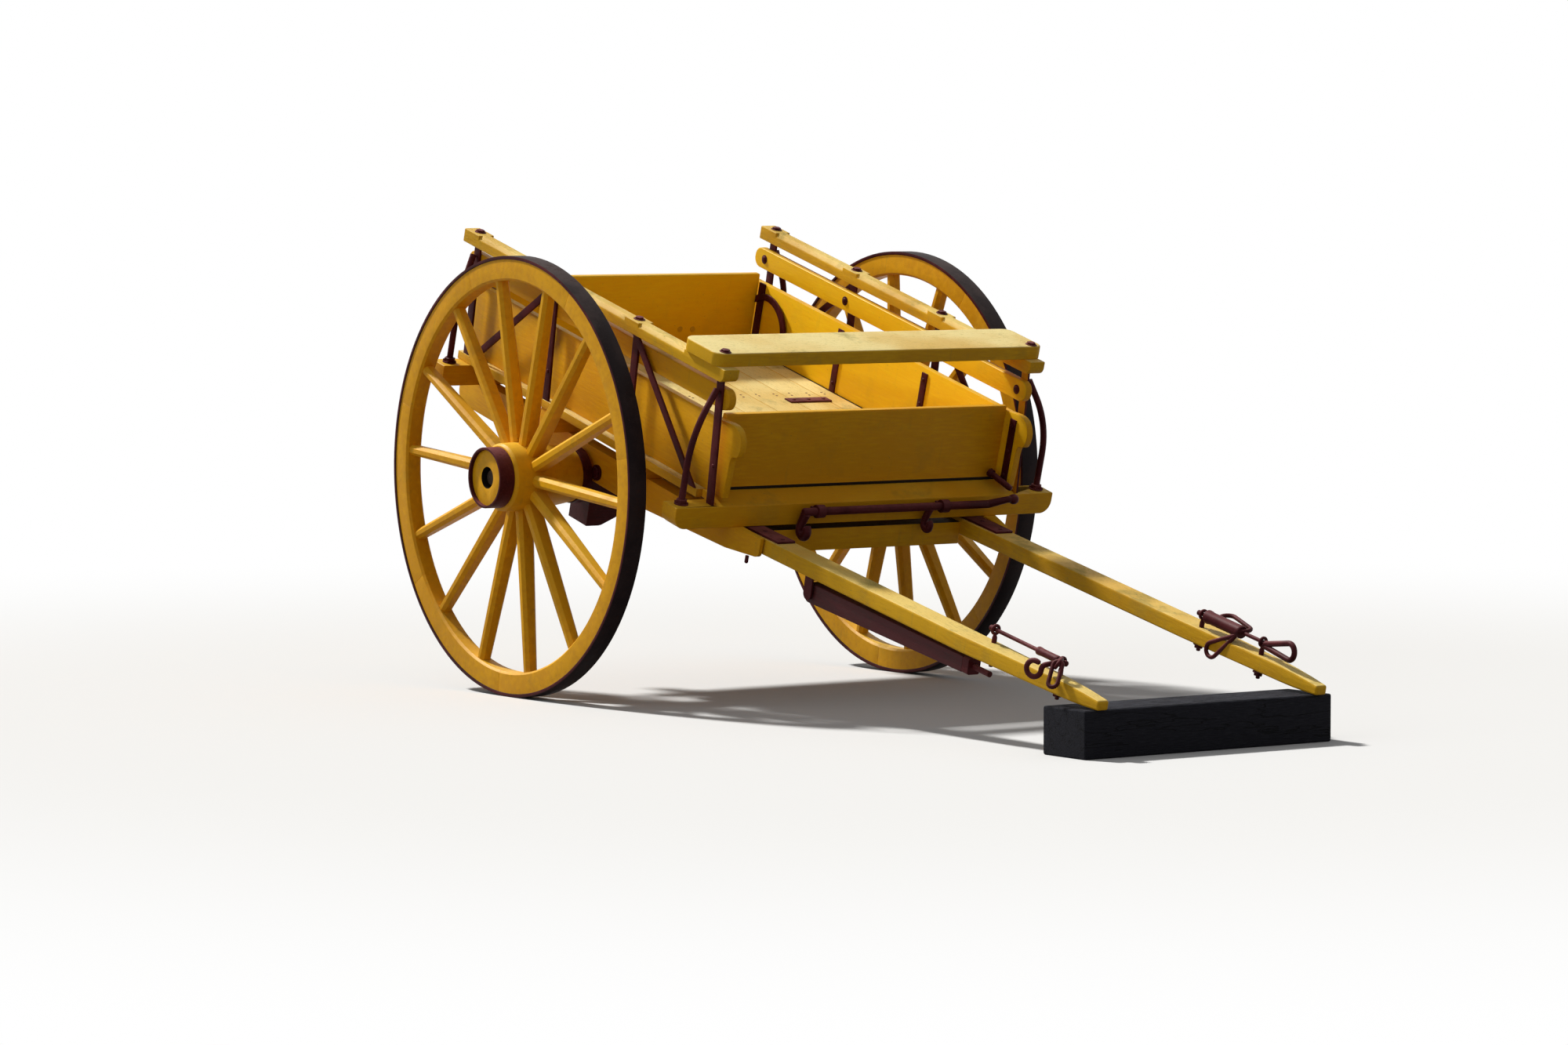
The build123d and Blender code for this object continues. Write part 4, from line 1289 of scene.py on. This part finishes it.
@dataclass
class TrayBody:
    """The tray's sides: panels, boards, rails, seat, stays and their bolts."""

    bolt_stations: tuple[float, ...] = (-0.683, -0.195, 0.302)
    rail_top: float = 0.618
    seat_station: float = 0.790
    seat_top: float = 0.661
    bolt_out: float = 0.595
    mid_heads: tuple[float, ...] = (-0.679, -0.188, 0.308, 0.797)
    mid_level: float = 0.5135
    mid_inner: float = 0.562
    strap_stations: tuple[float, ...] = (-0.155, 0.335, 0.834)
    strap_levels: tuple[float, ...] = (0.236, 0.318, 0.400)
    strap_inner: float = 0.540
    stay_stations: tuple[float, ...] = (-0.669, -0.165, 0.325, 0.824)
    stay_level: float = 0.300
    stay_outer: float = 0.598
    feet: tuple[tuple[float, float], ...] = ((0.820, 0.693), (-0.660, 0.658))
    bearer_top: float = 0.178
    keeper_foot: Triple = (0.796, 0.510, 0.236)
    keeper_way: Triple = (0.115, 0.016, -0.026)
    keeper_start: float = 0.0080
    keeper_runs: Runs = (
        (0.003, 0.0145),
        (0.012, 0.0145),
        (0.004, 0.0100),
        (0.078, 0.0100),
        (0.012, 0.0082),
        (0.002, 0.0050),
    )
    painted_from: float = 0.7
    board_foot: float = 0.2155
    plugs: tuple[tuple[float, float], ...] = ((0.244, 0.276), (0.295, 0.275))
    plug_along: float = -0.6595

    def looks_in(self, corners: Corners, normal: Vector) -> bool:
        """Picks the faces that look into the tray."""
        return normal.y * corners[0].y < -0.5 * abs(corners[0].y)

    def looks_forward(self, corners: Corners, normal: Vector) -> bool:
        """Picks the faces that look to the front."""
        return normal.dot(TRAY.forward) > 0.5

    def is_inward(self, corners: Corners, normal: Vector) -> bool:
        """Picks the front stanchions' inner faces, which are painted with the panels."""
        along = min((corner - TRAY.origin).dot(TRAY.forward) for corner in corners)
        return self.looks_in(corners, normal) and along > self.painted_from

    def is_foot(self, corners: Corners, normal: Vector) -> bool:
        """Picks the front board's lowest strip, which is painted dark as the shade of a gap along the bearer."""
        return max((corner - TRAY.origin).dot(TRAY.up) for corner in corners) < self.board_foot + HAIR

    def mark_foot(self, piece: Piece) -> None:
        """Parts the front board's lowest strip from its faces."""
        part_faces(TRAY.point(0, 0, self.board_foot), TRAY.up)

    def build(self) -> None:
        """Makes the body's timbers, straps and fixings."""
        for side in Side:
            self.build_side(side.word)
        across = Grain.TRAY_ACROSS
        # The front board's foot is painted shade: a dark strip for the gap along the bearer.
        Timber("front_board", EASED, across, None, GREASE_AND_SHADE, self.is_foot, self.mark_foot).build()
        # The tailboard's inner face takes the brighter inside enamel, which is painted bounce light.
        Timber("tailboard", EASED, across, None, INSIDE_BOUNCE_LIT_YELLOW, self.looks_forward).build()
        Timber("seat_board", ROUNDED, across, BLEACHED_AND_SUNLIT_YELLOW).build()
        self.fix_rails()
        self.fix_straps()
        foot, way = TRAY.point(*self.keeper_foot), TRAY.way(*self.keeper_way)
        keeper = Bar("latch_keeper", foot, way, self.keeper_start)
        iron(keeper.draw(self.keeper_runs).finish(), "tray")
        places = [TRAY.seat(self.plug_along, out, level, TRAY.forward) for out, level in self.plugs]
        plugs = PLUG.set_out("tailboard_plugs", places)
        hand_over(plugs, "tailboard", WEATHERED_YELLOW, Grain.NONE, NODE_SLOTS["tailboard"])

    def build_side(self, word: str) -> None:
        """Makes one side's timbers and straps.

        Args:
            word: the side's name.
        """
        along, upright = Grain.TRAY_LONG, Grain.TRAY_UPRIGHT
        # The panels' and mid rails' inner faces take the brighter inside enamel, which is painted bounce light.
        Timber(f"side_panel_{word}", Arris(0.003), along, None, INSIDE_BOUNCE_LIT_YELLOW, self.looks_in).build()
        Timber(f"tailboard_guides_{word}", STRAP, upright).build()
        Timber(f"tailboard_catch_{word}", STRAP, upright).build()
        Timber(f"top_rail_{word}", Arris(0.004, 3), along, WEATHERED_YELLOW).build()
        Timber(f"mid_rail_{word}", Arris(0.0055, 3), along, None, INSIDE_BOUNCE_LIT_YELLOW, self.looks_in).build()
        Timber(f"stanchions_{word}", STRAP, upright, None, YELLOW, self.is_inward).build()
        Timber(f"braces_{word}", STRAP, upright).build()
        Timber(f"panel_straps_{word}", STRAP, upright).build()

    def fix_rails(self) -> None:
        """Bolts the rails and the seat down, and sets the coach bolts through the mid rails."""
        spots = [(along, self.bolt_out, self.rail_top) for along in self.bolt_stations]
        spots.append((self.seat_station, self.bolt_out, self.seat_top))
        RAIL_BOLT.fasten("rail_bolt_heads", TRAY.both_sides(spots, TRAY.up, None), "tray", "rail_bolts")
        spots = [(along, self.mid_inner, self.mid_level) for along in self.mid_heads]
        COACH_HEAD.fasten("mid_rail_bolts", TRAY.both_sides(spots, -LEFTWARD), "tray")

    def fix_straps(self) -> None:
        """Rivets the straps and stanchions and sets the nuts at the outriggers' feet."""
        levels = self.strap_levels
        straps = [(along, self.strap_inner, level) for along in self.strap_stations for level in levels]
        stays = [(along, self.stay_outer, self.stay_level) for along in self.stay_stations]
        places = TRAY.both_sides(straps, -LEFTWARD) + TRAY.both_sides(stays, LEFTWARD)
        RIVET.fasten("strap_and_stay_rivets", places, "tray")
        feet = [(along, out, self.bearer_top) for along, out in self.feet]
        FOOT_NUT.fasten("outrigger_nuts", TRAY.both_sides(feet, TRAY.up, None), "tray")


@dataclass
class Latch:
    """The latch rod with its hooks and cranked handle, and the eyes that it turns in."""

    along: float = 0.892
    level: float = 0.160
    right_end: float = -0.262
    overhang: float = 0.014
    far_hook: float = 0.222
    radius: float = 0.013
    bar_end: float = 0.455
    handle_end: float = 0.525
    handle_radius: float = 0.011
    handle_length: float = 0.058
    handle_neck: float = 0.006
    bar_tip: float = 0.005
    bar_extra: float = 0.002
    crank: float = 0.045
    crank_angle: float = 50.0
    crank_bend: float = 0.012
    ball_radius: float = 0.0165
    ball: Runs = ((0.003, 0.85), (0.007, 1.0), (0.009, 1.0), (0.006, 0.8), (0.003, 0.4))
    near_size: tuple[float, float] = (0.0140, 0.0200)
    far_size: tuple[float, float] = (0.0115, 0.0165)
    hook_way: Triple = (-0.42, 0.0, -1.0)
    hook_sunk: float = 0.004
    hook_drop: float = 0.046
    hook_knee: tuple[float, float] = (22.0, 0.03)
    hook_shin: float = 0.004
    hook_wrap: float = 225.0
    hook_point: float = 0.003
    swell: float = 1.15
    thin: float = 0.7

    def hook(self, name: str, out: float, sizes: tuple[float, float]) -> Piece:
        """Forges one hook: down from the rod, then round under its pin.

        Args:
            name: its name.
            out: where it stands on the rod.
            sizes: the bar's radius and the curl's radius at the bar's middle.

        Returns:
            The hook.
        """
        bar_radius, curl = sizes
        start = TRAY.point(self.along, out, self.level - self.hook_sunk)
        degrees, knee = self.hook_knee
        bar = Bar(name, start, TRAY.way(*self.hook_way), bar_radius * self.swell)
        bar.run(self.hook_drop, bar_radius).bend(degrees, TRAY.forward, knee, 2).run(self.hook_shin)
        bar.bend(self.hook_wrap, TRAY.forward, curl, 14)
        return bar.run(self.hook_point, bar_radius * self.thin).finish()

    def build(self) -> None:
        """Makes the rod, its two hooks and its handle as one piece."""
        start = TRAY.point(self.along, self.right_end - self.overhang, self.level)
        rod = Bar("latch_bar", start, LEFTWARD, self.radius * self.thin, 16)
        rod.run(self.bar_tip, self.radius).run(self.bar_end - self.right_end + self.bar_extra)
        angle = math.radians(self.crank_angle)
        rise = TRAY.way(math.sin(angle), 0.0, math.cos(angle))
        slant = math.degrees(math.atan2(self.crank, self.handle_end - self.bar_end))
        rod.bend(slant, rise, self.crank_bend, 3).run(self.handle_length, self.handle_radius)
        rod.bend(slant, LEFTWARD, self.crank_bend, 3).run(self.handle_neck).draw(self.ball, self.ball_radius)
        pieces = [
            rod.finish(),
            self.hook("near_hook", self.right_end, self.near_size),
            self.hook("far_hook", self.far_hook, self.far_size),
        ]
        iron(joined("latch_rod_forged", pieces), "tip_latch", "latch_rod")


@dataclass
class Harness:
    """One shaft's harness iron: the rod in its two eyes, the sleeve on it and the hanging links."""

    side: Side
    eyes: tuple[float, float]
    sleeve: tuple[float, float]
    sleeve_radius: float
    rod_overhang: tuple[float, float] = (0.026, 0.024)
    out: float = 0.405
    level: float = 0.066
    shaft_top: float = 0.026
    nut_level: float = -0.0262
    nut_turn: float = 0.3
    rod_tip: float = 0.0040
    rod_radius: float = 0.0062
    rod_head: Runs = ((0.003, 0.0085), (0.010, 0.0085), (0.004, 0.0062))
    rod_nut: Runs = ((0.003, 0.0088), (0.009, 0.0088), (0.003, 0.0050))
    eye_radius: float = 0.0125
    eye_bar: float = 0.0052
    shank_radius: float = 0.0080
    shank_sunk: float = 0.010
    neck_gap: float = 0.012
    neck: float = 0.009
    mouth: Runs = ((0.0005, 0.92), (0.004, 1.10), (0.008, 1.10), (0.012, 1.0))
    tail: Runs = ((0.010, 1.04), (0.008, 1.04), (0.003, 0.92))
    lip: float = 0.0005

    def point(self, along: float, out: float = 0.0, level: float = 0.0) -> Vector:
        """Gives a point by its distance along the shafts, outward of the rod and above the rod."""
        return SHAFTS.point(along, self.side.value * (self.out + out), self.level + level)

    def eye(self, along: float) -> Piece:
        """Forges an eye whose shank goes down into the shaft.

        Args:
            along: its station on the shaft.

        Returns:
            The eye.
        """
        drop = self.level - self.shaft_top + self.shank_sunk
        bar = Bar("eye_shank", self.point(along, 0, -drop), SHAFTS.up, self.shank_radius)
        bar.run(drop - self.eye_radius - self.neck_gap).run(self.neck, self.eye_bar)
        shank = bar.finish()
        ring = Bar("eye_ring", self.point(along, 0, -self.eye_radius), LEFTWARD, self.eye_bar, 10)
        ring.bend(180, SHAFTS.up, self.eye_radius, 9).bend(180, -SHAFTS.up, self.eye_radius, 9)
        return joined("eye", [shank, ring.finish(closed=True)])

    def from_station(self, station: float, start: Triple) -> Vector:
        """Gives a point that is set out from a station on the shaft: along it, outward and up."""
        along, out, level = start
        return self.point(station + along, out, level)

    def build(self) -> None:
        """Makes the rod with its eyes, the sleeve and the nuts under the shaft."""
        word = self.side.word
        first, last = self.eyes[0] - self.rod_overhang[0], self.eyes[1] + self.rod_overhang[1]
        bar = Bar("harness_bar", self.point(first), SHAFTS.forward, self.rod_tip)
        bar.draw(self.rod_head).run(last - first - reach(self.rod_head, self.rod_nut)).draw(self.rod_nut)
        pieces = [bar.finish(), *(self.eye(along) for along in self.eyes)]
        out = self.side.value * self.out
        nuts = [SHAFTS.seat(along, out, self.nut_level, -SHAFTS.up, self.nut_turn) for along in self.eyes]
        pieces.append(END_NUT.set_out("eye_nuts", nuts))
        iron(joined(f"harness_rod_forged_{word}", pieces), "shafts", f"harness_rod_{word}")
        start, end = self.sleeve
        bar = Bar(f"harness_sleeve_forged_{word}", self.point(start), SHAFTS.forward, self.rod_radius, 20)
        bar.draw(self.mouth, self.sleeve_radius).run(end - start - self.lip - reach(self.mouth, self.tail))
        bar.draw(self.tail, self.sleeve_radius).run(self.lip, self.rod_radius)
        iron(bar.finish(), "shafts", f"harness_sleeve_{word}")


@dataclass
class RightHarness(Harness):
    """The right shaft's iron, with a curled hook on the sleeve and a link hanging from the front eye."""

    stem: float = 2.328
    stem_level: float = -0.006
    stem_radius: float = 0.0078
    stem_way: Triple = (0.0, -1.0, -0.12)
    drop: Runs = ((0.043, 0.0084),)
    turn_down: tuple[float, float] = (80.0, 0.014)
    throat: Runs = ((0.004, 0.0082),)
    lean: float = 25.0
    curl: tuple[float, float] = (290.0, 0.0240)
    tip: Runs = ((0.006, 0.0072), (0.002, 0.0046))
    shackle: Link = Link(
        "shackle",
        start=(0.004, 0.010, 0.004),
        along=(0.66, -0.75, -0.02),
        across=(0.3, 0.3, 0.9),
        length=0.048,
        width=0.026,
        radius=0.0056,
    )
    hanging: Link = Link(
        "hanging",
        start=(0.026, 0.034, 0.012),
        along=(0.40, -0.47, -0.80),
        across=(0.9, 0.42, 0.1),
        length=0.084,
        width=0.030,
        radius=0.0066,
    )

    def build(self) -> None:
        """Makes the common pieces, the curled hook and the hanging link."""
        super().build()
        start = self.point(self.stem, self.sleeve_radius / 2, self.stem_level)
        hook = Bar("trace_hook_right", start, SHAFTS.way(*self.stem_way), self.stem_radius)
        degrees, radius = self.turn_down
        hook.draw(self.drop).bend(degrees, -SHAFTS.up, radius, 6).draw(self.throat)
        lean = math.radians(self.lean)
        back = SHAFTS.way(-math.cos(lean), -math.sin(lean), 0)
        degrees, radius = self.curl
        iron(hook.bend(degrees, back, radius, 20).draw(self.tip).finish(), "shafts")
        pair = (self.shackle, self.hanging)
        links = [link.oval(self.from_station(self.eyes[1], link.start)) for link in pair]
        iron(joined("hanging_links_right", links), "shafts", "harness_hook_right")


@dataclass
class LeftHarness(Harness):
    """The left shaft's iron, with two links on the sleeve's neck and a long link at the front eye."""

    hanging: Link = Link(
        "hanging_link_left",
        start=(-0.012, -0.012, -0.010),
        along=(-1.0, -0.12, -0.80),
        across=(0.62, 0.0, -0.8),
        length=0.142,
        width=0.046,
        radius=0.0066,
    )
    resting: Link = Link(
        "resting_link_left",
        start=(0.008, 0.006, 0.006),
        along=(-1.0, 0.22, 0.03),
        across=(0.0, 1.0, 0.15),
        length=0.150,
        width=0.048,
        radius=0.0070,
    )
    front: Link = Link(
        "front_link_left",
        start=(-0.004, -0.002, -0.008),
        along=(1.0, -0.05, 0.13),
        across=(0.0, 0.0, 1.0),
        length=0.164,
        width=0.050,
        radius=0.0090,
    )

    def build(self) -> None:
        """Makes the common pieces and the three links."""
        super().build()
        neck, eye = self.sleeve[1], self.eyes[1]
        iron(self.hanging.drop(self.from_station(neck, self.hanging.start)), "shafts")
        iron(self.resting.oval(self.from_station(neck, self.resting.start)), "shafts")
        iron(self.front.drop(self.from_station(eye, self.front.start)), "shafts", "harness_hook_left")


@dataclass
class Shafts:
    """The shafts, their crossbar and wear plates, the prop, the harness iron and the block under them."""

    screw_stations: tuple[float, ...] = (0.728, 0.826, 0.924)
    plate_out: float = 0.424
    plate_top: float = 0.034
    crossbar_drop: float = 0.014
    shaft_round: float = 0.013

    def is_top(self, corners: Corners, normal: Vector) -> bool:
        """Picks the faces that look up."""
        return normal.dot(SHAFTS.up) > 0.9

    def lower_top(self, piece: Piece) -> None:
        """Planes the crossbar's top down, which opens the dark gap under the front bearer."""
        select_faces(piece, self.is_top)
        bpy.ops.transform.translate(value=-SHAFTS.up * self.crossbar_drop)

    def build(self) -> None:
        """Makes all the pieces that ride with the shafts."""
        along, across = Grain.SHAFT_LONG, Grain.ACROSS
        for side in Side:
            Timber(f"shaft_{side.word}", Arris(self.shaft_round, 4), along, WEATHERED_YELLOW).build()
        # The crossbar's top is painted shade: dark, for the gap under the front bearer.
        Timber("shaft_crossbar", Arris(0.003), across, None, GREASE_AND_SHADE, self.is_top, self.lower_top).build()
        Timber("wear_plates", FINE, along).build()
        Timber("prop_leg", ROUNDED, along).build()
        Timber("rest_block", Arris(0.008, 3), across).build()
        spots = [(station, self.plate_out, self.plate_top) for station in self.screw_stations]
        RIVET.fasten("wear_plate_screws", SHAFTS.both_sides(spots, SHAFTS.up), "shafts")
        RightHarness(Side.RIGHT, eyes=(2.015, 2.343), sleeve=(2.225, 2.328), sleeve_radius=0.0118).build()
        LeftHarness(Side.LEFT, eyes=(1.990, 2.280), sleeve=(2.008, 2.182), sleeve_radius=0.0195).build()


# Studio


@dataclass(frozen=True)
class Lamp:
    """A far lamp: its strength, how many degrees it fills, the way its light travels and its colour."""

    name: str
    strength: float
    spread: float
    way: Triple
    colour: Colour

    def hang(self) -> None:
        """Hangs the lamp."""
        data = bpy.data.lights.new(self.name, "SUN")
        data.energy = self.strength
        data.angle = math.radians(self.spread)
        data.color = self.colour
        lamp = bpy.data.objects.new(self.name, data)
        lamp.rotation_euler = Vector(self.way).to_track_quat("-Z", "Y").to_euler()
        bpy.context.scene.collection.objects.link(lamp)


@dataclass(frozen=True)
class Studio:
    """The camera, floor and lights."""

    photo_width: int = 2000
    sensor: float = 36.0
    focal_pixels: float = 7194.745
    camera_from_axle: Triple = (15.34057665, -10.44302351, 1.72747514)
    dip: float = 3.68
    heading: float = 55.04
    view_length: float = 500.0
    floor_size: float = 400.0
    floor_colour: Colour = (0.74, 0.74, 0.74)
    floor_bounce: Colour = (0.17, 0.16, 0.145)
    floor_rough: float = 0.95
    floor_fade: tuple[float, float] = (2.6, 7.0)
    white: Colour = (1.0, 1.0, 1.0)
    surround: float = 0.24
    key: Lamp = Lamp("key", 4.0, 5.0, (0.62, 0.21, -0.76), (1.0, 0.985, 0.95))
    fill: Lamp = Lamp("fill", 0.32, 50.0, (0.06, 0.95, -0.30), (1.0, 1.0, 1.0))

    def set_camera(self) -> None:
        """Puts the camera at the photograph's angle, set out from the axle."""
        data = bpy.data.cameras.new("camera")
        camera = bpy.data.objects.new("camera", data)
        bpy.context.scene.collection.objects.link(camera)
        data.sensor_width = self.sensor
        data.lens = self.focal_pixels * self.sensor / self.photo_width
        data.clip_end = self.view_length
        camera.location = Vector(self.camera_from_axle) + Vector((AXLE.x, 0, 0))
        camera.rotation_euler = (math.radians(90 - self.dip), 0, math.radians(self.heading))
        bpy.context.scene.camera = camera

    def lay_floor(self) -> None:
        """Lays a pale floor that holds the cart's shadow and fades to white around it."""
        deselect()
        bpy.ops.mesh.primitive_plane_add(size=self.floor_size)
        floor = bpy.context.object
        floor.name = "floor"
        shader = Shader("pale_floor")
        seen = shader.seen()
        shader.feed("Base Color", shader.mix(seen, self.floor_bounce, self.floor_colour))
        shader.fix("Roughness", self.floor_rough)
        shader.fix("Specular IOR Level", 0.0)
        glow = shader.add("ShaderNodeEmission", {}, {"Color": self.white, "Strength": 1.0})
        faded = shader.distance().step(*self.floor_fade) * seen
        values = {0: faded, 1: shader.surface.outputs[0], 2: glow.outputs[0]}
        mixed = shader.add("ShaderNodeMixShader", {}, values)
        shader.put(shader.tree.nodes["Material Output"].inputs["Surface"], mixed.outputs[0])
        floor.data.materials.append(shader.material)

    def light(self) -> None:
        """Sets a white surround, softer for the rays that light the cart, and hangs the lamps."""
        world = bpy.data.worlds.new("surround")
        bpy.context.scene.world = world
        world.use_nodes = True
        graph = Graph(world.node_tree)
        background = world.node_tree.nodes["Background"]
        graph.put(background.inputs["Color"], self.white)
        graph.put(background.inputs["Strength"], graph.seen() * (1 - self.surround) + self.surround)
        self.key.hang()
        self.fill.hang()

    def build(self) -> None:
        """Sets up the whole studio."""
        self.set_camera()
        self.lay_floor()
        self.light()
        bpy.context.scene.view_settings.view_transform = "Standard"


def dress_frame_nodes() -> None:
    """Gives every CAD node that still shows its finish."""
    for node, piece in frame["nodes"].items():
        if not piece.hide_render:
            for slot in piece.material_slots:
                slot.material = PAINT.get(SLOT_FINISHES[NODE_SLOTS[node]], Grain.NONE)


def main() -> None:
    """Builds the cart's pieces in order and reports each."""
    logging.basicConfig(level=logging.INFO, format="%(name)s: %(message)s")
    random.seed(SEED)
    Studio().build()
    for side in Side:
        Wheel(side).build()
    TrayFrame().build()
    TrayBody().build()
    Latch().build()
    Shafts().build()
    dress_frame_nodes()


if __name__ == "__main__":
    main()
